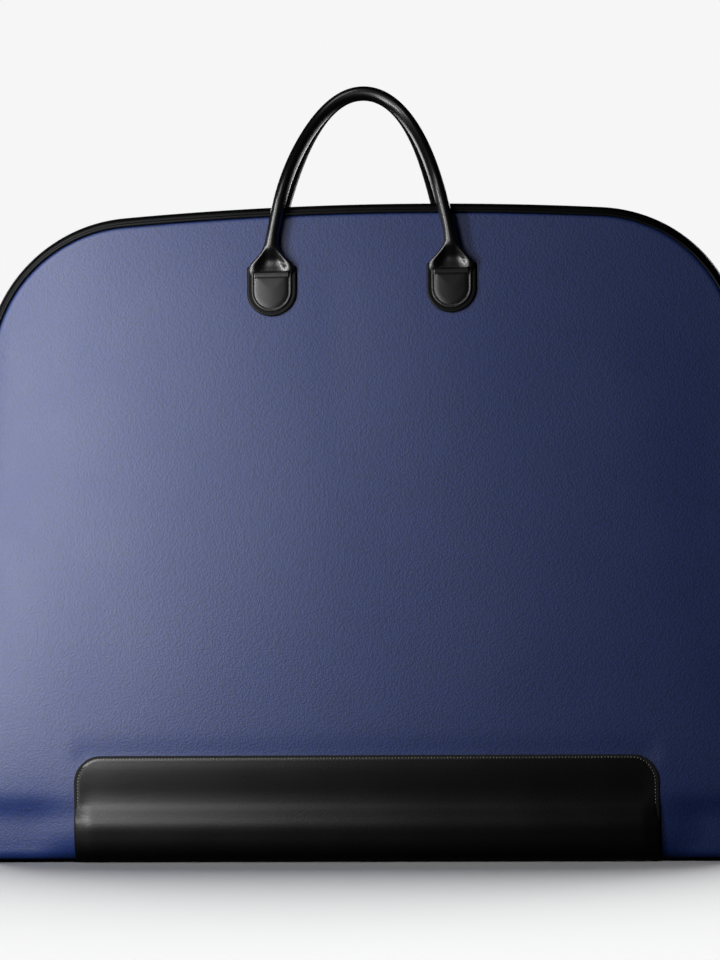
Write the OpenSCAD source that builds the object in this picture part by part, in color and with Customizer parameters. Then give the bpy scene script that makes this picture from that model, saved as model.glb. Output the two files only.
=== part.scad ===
// Fold-over garment bag: two padded trays hinged to a narrow base, closed by a zip
// round three sides, carried by a rolled handle on each half.
// X is the width, Y the depth with the front at -Y, and Z points up from the floor.

/* [Body] */
// Overall width of the folded bag
body_w = 590; // [570:2:610]
// Height of the folded bag without its handles
body_h = 507; // [490:1:520]
// Depth of each half from the zip to its outer seam
half_t = 45; // [43:1:48]
// Radius of the two upper corners
corner_r = 118; // [105:1:125]
// Radius of the gently arched top edge
crown_r = 2690; // [2000:10:4000]
// How far the padded face stands proud of its seam at the middle
face_bulge = 7; // [3:0.5:9]

/* [Fold] */
// Height over which the face rolls under towards the floor
roll_h = 32; // [26:1:36]
// Half depth of the flat foot under the bag
foot_half = 20; // [16:1:24]
// Height of the shallow crease above the roll
crease_z = 40; // [38:1:44]
// Depth of that crease
crease_depth = 2.2; // [0:0.1:3]
// Height of the reinforcing guard over the fold
guard_h = 82; // [70:1:95]
// Half width of the guard
guard_half = 225; // [200:1:240]
// Radius of the guard's upper corners
guard_r = 21; // [12:1:30]
// Radius of the roll that keeps a folded suit from creasing
crease_roll_r = 17; // [12:0.5:18]

/* [Handles] */
// Distance of each handle tab from the middle
tab_x = 69.3; // [60:0.1:80]
// Height of the tabs' sewn top edge, where the handle bends
tab_top = 461; // [455:1:466]
// Height of the handle's centre line at its top
handle_top = 597.5; // [580:0.5:600]
// Outer radius of the rolled grip
grip_r = 4.8; // [4.5:0.1:6.2]
// Half gap between the two grips where they meet
grip_gap = 0.6; // [0.4:0.1:2]

/* [Zip] */
// Height of the lower ends of the zip
zip_foot = 46; // [44:1:60]
// Height of the slider's lower edge when the zip is closed
slider_z = 54; // [52:1:70]

/* [Hook] */
// Distance of the hanging hook behind the zip
hook_y = 26; // [25:0.5:27]
// Radius of the hook's wire
wire_r = 2; // [1.8:0.1:2]
// Radius of the hook's crook at the middle of its wire
crook_r = 15; // [13:0.5:16]

/* [Hidden] */
$fn = 48;

skin_t = 1.4;          // outer face material
guard_t = 1.6;         // guard material, which also lifts the face material off the floor
gap = 0.1;             // clearance between layers that lie on each other
half_z = 9;            // lower edge of everything on a half
base_top = 8.3;        // upper edge of the base's shells
roll_power = 2.4;      // squareness of the roll's section
seam_in = 8.2;         // inset of the face's edge from the outline
board_y = 40.4;        // inner face of the stiffening board
board_t = 2;
lining_y = 38.5;       // inner face of the lining
lining_t = 0.8;
tray_in = 12.4;        // inset of the boards and linings
tray_half = body_w / 2 - tray_in;
board_z = 52;          // lower edge of the boards
teeth_in = 5.4;        // inset of the zip teeth's outer face
teeth_t = 2.4;
slider_x = body_w / 2; // the slider runs on the right-hand side
slider_len = 12;
pull_z = slider_z + 8; // height of the pull's pivot
pull_x = slider_x - 1.9;
crook_z = 485;         // centre of the hook's crook when it is stowed
bar_z = 367;           // centre of the hanger bar when the hook is stowed
strap_z = [200, 330];  // heights of the garment straps
corner_steps = 10;
crown_steps = 6;
side_z = [9, 13, 18, 25, 34, 46];
blue = "#2c3963";
black = "#121214";
lining_grey = "#3a3d48";
metal = "#5c5e63";

// ---- Outline of the bag, seen from the front ----

corner_x = body_w / 2 - corner_r;
corner_z = body_h - crown_r + sqrt(pow(crown_r - corner_r, 2) - pow(corner_x, 2));
// direction from the crown's centre to the left corner's centre, where the two arcs meet
meet = atan2(corner_z - body_h + crown_r, -corner_x);

function corner_arc(inset, side) = [for (i = [0:corner_steps])
    let (t = 180 + (meet - 180) * i / corner_steps)
    [side * (corner_x - (corner_r - inset) * cos(t)), corner_z + (corner_r - inset) * sin(t)]];
function crown_arc(inset) = [for (i = [1:crown_steps - 1])
    let (t = meet + (180 - 2 * meet) * i / crown_steps)
    [(crown_r - inset) * cos(t), body_h - crown_r + (crown_r - inset) * sin(t)]];
function reversed(list) = [for (i = [len(list) - 1:-1:0]) list[i]];
function top_line(inset) = concat(corner_arc(inset, -1), crown_arc(inset),
    reversed(corner_arc(inset, 1)));
// the three-sided path from the lower left end to the lower right end
function rim_path(inset, z0) = concat(
    [for (z = side_z) if (z >= z0) [-body_w / 2 + inset, z]],
    top_line(inset),
    [for (z = reversed(side_z)) if (z >= z0) [body_w / 2 - inset, z]]);
// height of the outline above a place x
function top_at(x, inset) = let (
        flat = abs(x) < abs((crown_r - inset) * cos(meet)),
        r = flat ? crown_r - inset : corner_r - inset,
        cx = flat ? 0 : corner_x,
        cz = flat ? body_h - crown_r : corner_z)
    cz + sqrt(max(0, r * r - pow(abs(x) - cx, 2)));

// ---- Surface of a half's outer face ----

roll_cz = roll_h + guard_t;
// half depth of the fold's section at height z, grown by o
function section_y(z, o) = foot_half + (half_t - foot_half + o)
    * pow(1 - pow(min(1, max(0, (roll_cz - z) / (roll_h + o))), roll_power), 1 / roll_power)
    - crease_depth * exp(-pow((z - crease_z) / 9, 2));
face_half = body_w / 2 - seam_in;
function face_y(x, z, o) = let (up = (z - roll_cz) / (top_at(x, seam_in) - roll_cz))
    section_y(z, o) + face_bulge * (1 - pow(min(1, abs(x) / face_half), 2.5))
        * (up > 0 && up < 1 ? sin(180 * up) : 0);

// ---- General modules ----

// turns a front piece round for the rear half
module at_rear() { rotate([0, 0, 180]) children(); }

// triangles of a closed band between ring i and ring i + 1, n points each
function band(i, n, start = 0) = [for (k = [0:n - 1]) let (
        a = start + i * n + k, b = start + i * n + (k + 1) % n, c = a + n, d = b + n)
    each [[a, b, d], [a, d, c]]];
function flip(faces, yes) = yes ? [for (f = faces) reversed(f)] : faces;

// A solid through a list of rings whose points pair up as two facing strips.
module strip_sweep(rings) {
    n = len(rings[0]);
    last = (len(rings) - 1) * n;
    caps = [for (k = [0:n / 2 - 2]) each [[k, n - 1 - k, n - 2 - k], [k, n - 2 - k, k + 1]]];
    end = [for (f = caps) reversed([for (v = f) v + last])];
    polyhedron([for (r = rings) each r],
        concat([for (i = [0:len(rings) - 2]) each band(i, n)], caps, end), convexity = 8);
}

// A band round the three zipped sides. Its outer and inner lists hold [inset, depth] pairs.
module rim(outer, inner, z0) {
    profile = concat(outer, reversed(inner));
    paths = [for (p = profile) rim_path(p[0], z0)];
    strip_sweep([for (i = [0:len(paths[0]) - 1]) [for (k = [0:len(profile) - 1])
        let (p = paths[k][i])
        [p[0], -profile[k][1] * min(1, section_y(p[1], 0) / half_t), p[1]]]]);
}

// A flat plate in the bag's outline, from depth y0 to y1 and from height z0 up.
module tray_plate(y0, y1, z0) {
    translate([0, -y0, 0]) rotate([90, 0, 0]) linear_extrude(y1 - y0)
        polygon(concat([[tray_half, z0], [-tray_half, z0]], top_line(tray_in)));
}

// A sheet on the face between offsets o0 and o1. tops holds the [x, z] of each column's top.
// A back list of one depth makes the sheet's inner side flat.
module face_sheet(tops, o0, o1, low, rows, flat_back = 0) {
    split = max(low) + 12;
    function height(t, i) = i < len(low) ? low[i]
        : split + (t[1] - split) * pow((i - len(low)) / (rows - 1), 0.85);
    total = len(low) + rows;
    outer = [for (i = [0:total - 1]) [for (t = tops)
        let (z = height(t, i)) [t[0], -face_y(t[0], z, o1), z]]];
    inner = [for (i = [0:total - 1]) [for (t = reversed(tops))
        let (z = height(t, i)) [t[0], flat_back > 0 ? -flat_back : -face_y(t[0], z, o0), z]]];
    strip_sweep([for (i = [0:total - 1]) concat(outer[i], inner[i])]);
}

// ---- Base ----

// cross-section of a channel that follows the fold between offsets o0 and o1
module channel_section(o0, o1) {
    function side(o) = [for (i = [0:8])
        let (z = guard_t - o + (base_top - guard_t + o) * pow(i / 8, 2)) [section_y(z, o), z]];
    outer = side(o1);
    inner = side(o0);
    polygon(concat(outer, reversed(inner), [for (p = inner) [-p[0], p[1]]],
        reversed([for (p = outer) [-p[0], p[1]]])));
}
// extrudes a section drawn in depth and height along the width
module along_x(x0, x1) {
    translate([x0, 0, 0]) rotate([90, 0, 90]) linear_extrude(x1 - x0) children();
}

module fold_base_cover() {
    color(blue) along_x(-face_half, face_half) channel_section(-skin_t, -gap);
}
module fold_base_ends() {
    color(black) for (s = [0, 1]) rotate([0, 0, 180 * s])
        along_x(face_half + gap, body_w / 2 - 0.8) channel_section(-3 * skin_t, -gap);
}
module fold_base_board() {
    color(lining_grey) translate([-tray_half, -24, 3.2]) cube([2 * tray_half, 48, 2.4]);
}
module fold_base_lining() {
    color(lining_grey) translate([-tray_half, -31.5, 5.7]) cube([2 * tray_half, 63, lining_t]);
}
module fold_guard_base() {
    color(black) along_x(-guard_half, guard_half) channel_section(0, guard_t);
}
// upright ends of the base, which close the fold's sides and carry the crease roll
ear_x = tray_half + 1;
ear_t = 1.2;
crease_roll_z = 40;
module fold_side_ears() {
    color(black) for (x = [-ear_x - ear_t, ear_x]) along_x(x, x + ear_t) intersection() {
        translate([0, 26]) circle(33);
        translate([-31.5, 6.6]) square([63, 60]);
    }
}
module crease_roll_cover() {
    color(lining_grey) translate([0, 0, crease_roll_z]) rotate([0, 90, 0]) difference() {
        cylinder(r = crease_roll_r, h = 2 * ear_x - 3, center = true);
        cylinder(r = crease_roll_r - 1, h = 2 * ear_x, center = true);
    }
}
module crease_roll_core() {
    color("gray") translate([0, 0, crease_roll_z]) rotate([0, 90, 0])
        cylinder(r = crease_roll_r - 1 - gap, h = 2 * ear_x - 3.2, center = true);
}
module crease_roll_ends() {
    color(black) for (x = [-ear_x + gap, ear_x - 1.3 - gap]) translate([x, 0, crease_roll_z])
        rotate([0, 90, 0]) cylinder(r = crease_roll_r, h = 1.3);
}

// ---- Shell of one half ----

face_tops = top_line(seam_in);
low_rows = [9, 13, 18, 25, 34, 40, 47];
module half_panel() { color(blue) face_sheet(face_tops, -skin_t, 0, low_rows, 9); }
module half_foam() {
    color("dimgray")
        face_sheet(top_line(tray_in), 0, -skin_t - 0.5, [board_z + 2], 8, board_y + board_t + gap);
}
module half_board() {
    color("gray") tray_plate(board_y, board_y + board_t, board_z);
}
module half_lining() {
    color(lining_grey) tray_plate(lining_y, lining_y + lining_t, board_z);
}
gusset_outer = [[5.1, 44.6], [2.6, 43], [0.8, 38.5], [0, 31], [0.7, 23], [2.6, 16.5], [4.6, 13]];
gusset_inner = [[6.1, 43], [3.9, 41.4], [2.4, 37.8], [1.7, 31], [2.3, 23.5], [4.2, 17.4], [5.9, 14.2]];
module half_gusset() { color(black) rim(gusset_outer, gusset_inner, half_z); }
module half_piping() {
    r = 1.35;
    color(black) rim([for (t = [90, 45, 0, -45]) [6.7 + r * cos(t), 45 + r * sin(t)]],
        [for (t = [135, 180, 225, 270]) [6.7 + r * cos(t), 45 + r * sin(t)]], half_z);
}
module half_zip_tape() {
    color(black) rim([[6.2, 2.8], [6.2, 17.5]], [[7, 2.8], [7, 17.5]], zip_foot);
}
module half_zip_teeth() {
    color(metal) rim([[teeth_in, 0.85], [teeth_in, 2.7]],
        [[teeth_in + teeth_t, 0.85], [teeth_in + teeth_t, 2.7]], zip_foot);
}
module half_zip_stops() {
    for (x = [-body_w / 2 + 5.2, body_w / 2 - 8.2])
        color(metal) translate([x, -3.4, zip_foot - 4.5]) cube([3, 2.8, 4.3]);
}
function guard_tops() = let (steps = 6, cx = guard_half - guard_r, cz = guard_h - guard_r)
    concat([for (i = [0:steps]) let (t = 90 * i / steps)
            [-cx - guard_r * cos(t), cz + guard_r * sin(t)]],
        [for (i = [1:5]) [-cx + cx * i / 3, guard_h]],
        [for (i = [0:steps]) let (t = 90 - 90 * i / steps)
            [cx + guard_r * cos(t), cz + guard_r * sin(t)]]);
module half_fold_guard() {
    color(black) face_sheet(guard_tops(), 2.5 * gap, guard_t, low_rows, 4);
}

// ---- Handle fittings ----

// turns and places a drawing of x and height onto the face at the tab
tab_mid = tab_top - 20;
tab_lean = atan((face_y(tab_x, tab_mid - 15, 0) - face_y(tab_x, tab_mid + 15, 0)) / 30);
module on_face(x, lift) {
    translate([x, -face_y(tab_x, tab_mid, 0), tab_mid]) rotate([-tab_lean, 0, 0])
        translate([0, -lift, 0]) rotate([90, 0, 0]) children();
}
// tongue with a round lower end, width 2r, from top_h above the middle to low_h below it
module tongue(r, top_h, low_h) {
    translate([0, r - low_h]) circle(r);
    translate([-r, r - low_h]) square([2 * r, top_h + low_h - r]);
}
backing_t = 1.5;
tab_t = 2;
module half_tab_backings() {
    color(black) for (s = [-1, 1]) on_face(s * tab_x, 0.3) linear_extrude(backing_t)
        tongue(19.2, 18.2, 20.5);
}
module half_handle_tab(s) {
    color(black) on_face(s * tab_x, 0.3 + backing_t + gap) linear_extrude(tab_t)
        tongue(15.5, 14, 16.8);
}
module half_anchor_plates() {
    color(metal) for (s = [-1, 1]) translate([s * tab_x, -lining_y - lining_t - gap, tab_mid])
        rotate([90, 0, 0]) linear_extrude(0.9) tongue(15, 15, 15);
}
module half_garment_straps() {
    color(black) for (z = strap_z)
        translate([-287.7, -6.8, z - 12.5]) cube([575.4, 1.2, 25]);
}
pocket_half = 190;
module front_pocket() {
    color(lining_grey) translate([-pocket_half, -lining_y + gap, 70]) cube([2 * pocket_half, 0.8, 150]);
}
module front_pocket_binding() {
    color(black) translate([-pocket_half, -lining_y + gap, 220 + gap]) cube([2 * pocket_half, 1.4, 12]);
}

// ---- Rolled handle ----

pivot_y = face_y(tab_x, tab_top, 0) + 0.3 + backing_t + gap + tab_t / 2;
pivot_z = tab_top + 1;
rise = handle_top - pivot_z;
flare_h = 14.5;
flare_half = 17;
grip_steps = 14;
// half of the handle's centre line from its top to its foot, as a cubic curve of x and height
grip_hull = [[0, rise], [33.3, rise], [57.2, rise * 0.627], [tab_x, flare_h]];
function cubic(p, t) = pow(1 - t, 3) * p[0] + 3 * pow(1 - t, 2) * t * p[1]
    + 3 * (1 - t) * t * t * p[2] + pow(t, 3) * p[3];
// the grip stands off the face, goes past the top edge and then leans in to meet the other one
stand_off = 3.4;
lean_low = 42;
function smooth(t) = let (c = min(1, max(0, t))) c * c * (3 - 2 * c);
function grip_depth(h) = (pivot_y + stand_off - grip_r - grip_gap)
    * smooth((h - lean_low) / (rise - lean_low)) - stand_off * smooth((h - 2) / 12);
function grip_point(i) = let (p = cubic(grip_hull, abs(i) / grip_steps))
    [sign(i) * p[0], grip_depth(p[1]), p[1]];
function unit(v) = v / norm(v);
// One ring of the handle at step i, set in by the wall. The end steps flare out flat.
flare_steps = 4;
last_step = grip_steps + flare_steps;
grip_n = 12;
function grip_ring(i, r) = let (
        along = unit(grip_point(min(grip_steps, i + 0.5)) - grip_point(max(-grip_steps, i - 0.5))),
        across = unit(cross(along, [0, 1, 0])), other = cross(along, across))
    [for (k = [0:grip_n - 1]) let (a = 360 * k / grip_n)
        grip_point(i) + r * (cos(a) * across + sin(a) * other)];
function flare_ring(i, wall) = let (
        f = (abs(i) - grip_steps) / flare_steps,
        wide = grip_r + (flare_half - grip_r) * pow(f, 1.5) - wall,
        thick = grip_r + (1.9 - grip_r) * f - wall, h = flare_h + (1.2 - flare_h) * f)
    [for (k = [0:grip_n - 1]) let (a = 360 * k / grip_n)
        [sign(i) * (tab_x + wide * cos(a)), grip_depth(h) - thick * sin(a), h]];
function handle_ring(i, wall) =
    abs(i) > grip_steps ? flare_ring(i, wall) : grip_ring(i, grip_r - wall);
// places the handle's own drawing, with its origin on the bend above the tabs
module at_pivot() { translate([0, -pivot_y, pivot_z]) children(); }

module half_handle_cover() {
    m = 2 * last_step;
    n = grip_n;
    points = concat([for (i = [-last_step:last_step]) each handle_ring(i, 0)],
        [for (i = [-last_step:last_step]) each handle_ring(i, 1.3)]);
    inner0 = (m + 1) * n;
    far = m * n;
    ends = [for (k = [0:n - 1]) let (b = (k + 1) % n)
        each [[k, inner0 + b, b], [k, inner0 + k, inner0 + b],
            [far + k, far + b, inner0 + far + b], [far + k, inner0 + far + b, inner0 + far + k]]];
    color(black) at_pivot() polyhedron(points, concat([for (i = [0:m - 1]) each band(i, n)],
        flip([for (i = [0:m - 1]) each band(i, n, inner0)], true), ends), convexity = 12);
}
module half_handle_core() {
    n = grip_n;
    steps = grip_steps - 1;
    far = 2 * steps * n;
    caps = [for (k = [1:n - 2]) [0, k + 1, k]];
    color("tan") at_pivot() polyhedron([for (i = [-steps:steps]) each handle_ring(i, 1.5)], concat(
        [for (i = [0:2 * steps - 1]) each band(i, n)], caps,
        [for (f = caps) reversed([for (v = f) v + far])]), convexity = 6);
}

// ---- Hanging hook at the rear ----

rim_z = body_h + 0.05;
module stadium(half_x, half_y) {
    square([2 * (half_x - half_y), 2 * half_y], center = true);
    for (s = [-1, 1]) translate([s * (half_x - half_y), 0]) circle(half_y);
}
module rear_gusset() {
    color(black) difference() {
        at_rear() rim(gusset_outer, gusset_inner, half_z);
        translate([-25, hook_y - 3.5, body_h - 8]) cube([50, 7, 12]);
    }
}
module hook_slot_rim() {
    color(metal) translate([0, hook_y, 0]) difference() {
        union() {
            translate([0, 0, rim_z]) linear_extrude(0.9) stadium(28, 5.5);
            translate([0, 0, body_h - 4]) linear_extrude(4.2) stadium(24.5, 3.3);
        }
        translate([0, 0, body_h - 6]) linear_extrude(9) stadium(23, 2.5);
    }
}
guide_z = 445;
guide_h = 12;
module hook_guide() {
    color(black) difference() {
        translate([-16, hook_y - 5, guide_z]) cube([32, lining_y - hook_y + 5 - gap, guide_h]);
        translate([0, hook_y, guide_z - 1]) cylinder(r = wire_r + 0.4, h = guide_h + 2);
        for (s = [-1, 1]) translate([s * 11, hook_y - 6, guide_z + guide_h / 2])
            rotate([-90, 0, 0]) cylinder(r = 1.6, h = 30);
    }
}
module hook_guide_screws() {
    color(metal) for (s = [-1, 1]) translate([s * 11, hook_y - 5.1, guide_z + guide_h / 2])
        rotate([-90, 0, 0]) {
            translate([0, 0, -1.4]) cylinder(r = 3, h = 1.4);
            cylinder(r = 1.5, h = lining_y - hook_y + 5 - gap);
        }
}
module hanging_hook() {
    color(metal) translate([0, hook_y, crook_z]) {
        rotate([90, 0, 0]) rotate([0, 0, -15]) rotate_extrude(angle = 285)
            translate([crook_r, 0]) circle(wire_r);
        translate([crook_r * cos(15), 0, -crook_r * sin(15)]) sphere(wire_r + 0.2);
        translate([0, 0, -crook_r]) sphere(wire_r + 0.2);
        translate([0, 0, bar_z + 0.1 - crook_z])
            cylinder(r = wire_r, h = crook_z - crook_r - bar_z - 0.1);
    }
}
module hanger_bar() {
    color(metal) translate([0, hook_y, bar_z]) difference() {
        union() {
            rotate([0, 90, 0]) cylinder(r = 2.5, h = 60, center = true);
            for (s = [-1, 1]) translate([s * 30, 0, 0]) sphere(3.6);
            translate([0, 0, -3.5]) cylinder(r = 4.2, h = 6);
        }
        cylinder(r = wire_r + 0.04, h = 10);
    }
}

// ---- Zip slider and its pull ----

module zip_slider() {
    face = slider_x - teeth_in;
    color(metal) difference() {
        union() {
            translate([face + 0.4, -4.8, slider_z]) cube([1.4, 9.6, slider_len]);
            translate([face - teeth_t - 1.8, -4.8, slider_z]) cube([1.4, 9.6, slider_len]);
            translate([face - teeth_t - 1, -0.4, slider_z + 5]) cube([teeth_t + 2, 0.8, slider_len - 5]);
            translate([face + 1.7, -1.5, pull_z - 2.2]) cube([3.5, 3, 4.4]);
        }
        translate([pull_x, -3, pull_z]) rotate([-90, 0, 0]) cylinder(r = 1.15, h = 6);
    }
}
module zip_pull_link() {
    color(metal) translate([pull_x, 0, pull_z]) {
        translate([0, -3, 0]) rotate([-90, 0, 0]) cylinder(r = 0.8, h = 6);
        for (y = [-3, 1.9]) translate([-0.7, y, -9]) cube([1.4, 1.1, 9]);
        translate([-0.7, -3, -10.2]) cube([1.4, 6, 1.4]);
    }
}
module zip_pull_leather() {
    color(black) translate([pull_x - 0.75, 0, pull_z - 10.4]) rotate([90, 0, 90]) linear_extrude(1.5)
        translate([0, -28]) union() {
            circle(4);
            translate([-4, 0]) square([8, 28]);
        }
}

// ---- The nodes ----

fold_base_cover();
fold_base_ends();
fold_base_board();
fold_base_lining();
fold_guard_base();
fold_side_ears();
crease_roll_cover();
crease_roll_core();
crease_roll_ends();

half_panel();  // front_panel
half_foam();  // front_foam
half_board();  // front_board
half_lining();  // front_lining
half_gusset();  // front_gusset
half_piping();  // front_piping
half_fold_guard();  // front_fold_guard
half_zip_tape();  // front_zip_tape
half_zip_teeth();  // front_zip_teeth
half_zip_stops();  // front_zip_stops
half_tab_backings();  // front_tab_backings
half_handle_tab(-1);  // front_handle_tab_left
half_handle_tab(1);  // front_handle_tab_right
half_anchor_plates();  // front_anchor_plates
half_garment_straps();  // front_garment_straps
front_pocket();
front_pocket_binding();
half_handle_cover();  // front_handle_cover
half_handle_core();  // front_handle_core

at_rear() half_panel();  // rear_panel
at_rear() half_foam();  // rear_foam
at_rear() half_board();  // rear_board
at_rear() half_lining();  // rear_lining
rear_gusset();
at_rear() half_piping();  // rear_piping
at_rear() half_fold_guard();  // rear_fold_guard
at_rear() half_zip_tape();  // rear_zip_tape
at_rear() half_zip_teeth();  // rear_zip_teeth
at_rear() half_zip_stops();  // rear_zip_stops
at_rear() half_tab_backings();  // rear_tab_backings
at_rear() half_handle_tab(1);  // rear_handle_tab_left
at_rear() half_handle_tab(-1);  // rear_handle_tab_right
at_rear() half_anchor_plates();  // rear_anchor_plates
at_rear() half_garment_straps();  // rear_garment_straps
hook_slot_rim();
hook_guide();
hook_guide_screws();
at_rear() half_handle_cover();  // rear_handle_cover
at_rear() half_handle_core();  // rear_handle_core

zip_slider();
zip_pull_link();
zip_pull_leather();
hanging_hook();
hanger_bar();
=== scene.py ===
import math

import bpy
import numpy as np
from mathutils import Matrix, Vector


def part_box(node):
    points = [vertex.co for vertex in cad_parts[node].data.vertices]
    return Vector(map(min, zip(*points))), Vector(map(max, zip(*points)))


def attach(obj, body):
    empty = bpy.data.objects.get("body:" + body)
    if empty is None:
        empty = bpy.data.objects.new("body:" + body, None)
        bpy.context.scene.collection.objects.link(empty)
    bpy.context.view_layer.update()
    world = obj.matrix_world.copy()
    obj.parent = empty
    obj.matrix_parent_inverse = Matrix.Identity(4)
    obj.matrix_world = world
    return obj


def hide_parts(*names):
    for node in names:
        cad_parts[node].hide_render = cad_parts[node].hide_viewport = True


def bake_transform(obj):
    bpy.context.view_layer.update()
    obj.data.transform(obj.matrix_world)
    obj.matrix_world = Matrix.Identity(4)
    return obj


# Looks of the fold-over garment bag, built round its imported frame.
# Lengths are in metres. The bag faces -Y, X is its width and Z points up from the floor.
# Every piece of a half is drawn as the front one and turned about the Z axis for the rear one.

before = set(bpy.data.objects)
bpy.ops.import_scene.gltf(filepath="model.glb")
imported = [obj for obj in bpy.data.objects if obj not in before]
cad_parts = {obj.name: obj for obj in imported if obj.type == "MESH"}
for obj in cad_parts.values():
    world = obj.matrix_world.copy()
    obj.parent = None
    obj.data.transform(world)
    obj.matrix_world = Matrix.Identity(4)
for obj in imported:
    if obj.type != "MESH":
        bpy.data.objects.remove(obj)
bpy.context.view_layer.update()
scene = bpy.context.scene

# ---- Dimensions, from the frame where a node gives them ----

BODY_W = 2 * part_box("front_gusset")[1].x
BODY_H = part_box("front_gusset")[1].z
CORNER_R = 0.118        # upper corners of the outline
CROWN_R = 2.69          # gentle arch of the top edge
HALF_T = 0.045          # from the zip to a half's outer seam
FOOT_HALF = 0.020       # half depth of the flat foot
ROLL_H = 0.032          # height over which the face rolls under
ROLL_POWER = 2.4        # squareness of that roll
CREASE_Z = 0.040
FACE_BULGE = 0.007
SEAM_IN = BODY_W / 2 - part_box("front_panel")[1].x
SKIN_T, GUARD_T = 0.0014, 0.0016
GUARD_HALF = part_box("front_fold_guard")[1].x
GUARD_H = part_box("front_fold_guard")[1].z
GUARD_R = 0.021
LINING_Y = 0.0385
ZIP_FOOT = 0.046        # lower ends of the zip
ZIP_EDGE = 0.013        # depth of the gusset's edge beside the zip
ROLL_CZ = ROLL_H + GUARD_T
FACE_HALF = BODY_W / 2 - SEAM_IN
TAB_X, TAB_MID, TAB_TOP = 0.0693, 0.441, 0.461
GRIP_R, GRIP_GAP = 0.0048, 0.0006
HANDLE_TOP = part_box("front_handle_cover")[1].z - GRIP_R
STAND_OFF, LEAN_LOW = 0.0034, 0.042
EAR_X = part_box("fold_side_ears")[1].x - 0.0012
CREASE_ROLL_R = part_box("crease_roll_cover")[1].y

CORNER_X = BODY_W / 2 - CORNER_R
CORNER_Z = BODY_H - CROWN_R + math.sqrt((CROWN_R - CORNER_R) ** 2 - CORNER_X ** 2)
MEET = math.atan2(CORNER_Z - BODY_H + CROWN_R, -CORNER_X)
SIDES = (("front", 0.0), ("rear", math.pi))


# ---- The bag's surface ----

def top_at(x, inset):
    """Height of the outline, set in by inset, above a place x."""
    ax = np.abs(x)
    flat = ax < abs((CROWN_R - inset) * math.cos(MEET))
    r = np.where(flat, CROWN_R - inset, CORNER_R - inset)
    cx = np.where(flat, 0.0, CORNER_X)
    cz = np.where(flat, BODY_H - CROWN_R, CORNER_Z)
    return cz + np.sqrt(np.maximum(0, r * r - (ax - cx) ** 2))


def inset_at(x, z):
    """Distance inwards from the outline."""
    ax = np.abs(x)
    angle = np.arctan2(z - CORNER_Z, ax - CORNER_X)
    corner = CORNER_R - np.hypot(ax - CORNER_X, z - CORNER_Z)
    crown = CROWN_R - np.hypot(ax, z - BODY_H + CROWN_R)
    return np.where(angle <= 0, BODY_W / 2 - ax, np.where(angle < math.pi - MEET, corner, crown))


def crease(z):
    """How far the shell draws in over the fold: a slow taper, a crease and a fuller roll below."""
    return np.interp(z, TAPER[:, 0], TAPER[:, 1])


def stiffened(x, z):
    """How much less the shell draws in where the guard stiffens it."""
    beyond = smooth((np.abs(x) - GUARD_HALF + 0.004) / 0.040)
    return (1 - GUARD_TAPER) * (1 - beyond) * crease(z)


def section_y(z, o):
    """Half depth of the folded shell at height z, grown by o."""
    u = np.clip((ROLL_CZ - z) / (ROLL_H + o), 0, 1)
    return (FOOT_HALF + (HALF_T - FOOT_HALF + o) * (1 - u ** ROLL_POWER) ** (1 / ROLL_POWER)
            - crease(z))


def bulge(x, z):
    up = np.clip((z - ROLL_CZ) / (top_at(x, SEAM_IN) - ROLL_CZ), 0, 1)
    across = 1 - np.clip(np.abs(x) / FACE_HALF, 0, 1) ** 2.5
    return FACE_BULGE * across * np.sin(math.pi * up)


def face_y(x, z, o):
    return section_y(z, o) + stiffened(x, z) + bulge(x, z)


def fold_section(o, flat_steps, roll_steps):
    """(y, z) pairs from the spine, along the foot and up the roll."""
    flat = [(y, GUARD_T - o) for y in np.linspace(0, FOOT_HALF, flat_steps, endpoint=False)]
    turn = np.linspace(0, math.pi / 2, roll_steps)
    z = ROLL_CZ - (ROLL_H + o) * np.cos(turn) ** (2 / ROLL_POWER)
    y = FOOT_HALF + (HALF_T - FOOT_HALF + o) * np.sin(turn) ** (2 / ROLL_POWER) - crease(z)
    return np.array(flat + list(zip(y, z)))


def smooth(t):
    t = np.clip(t, 0, 1)
    return t * t * (3 - 2 * t)


def through(points, count):
    """A smooth curve through points, as count points."""
    p = np.asarray(points, float)
    p = np.vstack([2 * p[0] - p[1], p, 2 * p[-1] - p[-2]])
    made = []
    for t in np.linspace(0, len(p) - 3, count):
        i = min(int(t), len(p) - 4)
        f = t - i
        a, b, c, d = p[i:i + 4]
        made.append(0.5 * (2 * b + (c - a) * f + (2 * a - 5 * b + 4 * c - d) * f ** 2
                           + (3 * b - a - 3 * c + d) * f ** 3))
    return np.array(made)


def along(points):
    """Distance along a line of points from its first one."""
    step = np.linalg.norm(np.diff(points, axis=0), axis=1)
    return np.concatenate([[0], np.cumsum(step)])


# height and how far the shell draws in over the fold: a slow taper, a crease, a fuller roll
TAPER = through(np.array([
    [0, 0], [1.6, -2.0], [2.2, -4.0], [3, -3.8], [6, -0.7], [12, 3.4], [18.5, 5.5], [25, 6.3],
    [31, 6.2], [37, 5.3], [43, 3.6], [49, 1.8], [55, 0.9], [62, 0.5], [70, 0.25], [80, 0.1],
    [92, 0]]) / 1000, 500)
GUARD_TAPER = 0.42      # share of that taper under the stiff guard


def sample(at, s, values):
    """Values, one row for each distance s, read off at other distances."""
    return np.stack([np.interp(at, s, column) for column in values.T], 1)


def resample(points, count):
    s = along(points)
    return sample(np.linspace(0, s[-1], count), s, points)


def mirrored(left):
    """A line from the left to the middle, carried on to the right as its mirror image."""
    return np.vstack([left, left[:-1][::-1] * ([-1] + [1] * (left.shape[1] - 1))])


def both_ways(right):
    """Places from the right edge to the middle, made into places from edge to edge."""
    return np.concatenate([-right, right[:-1][::-1]])


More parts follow.
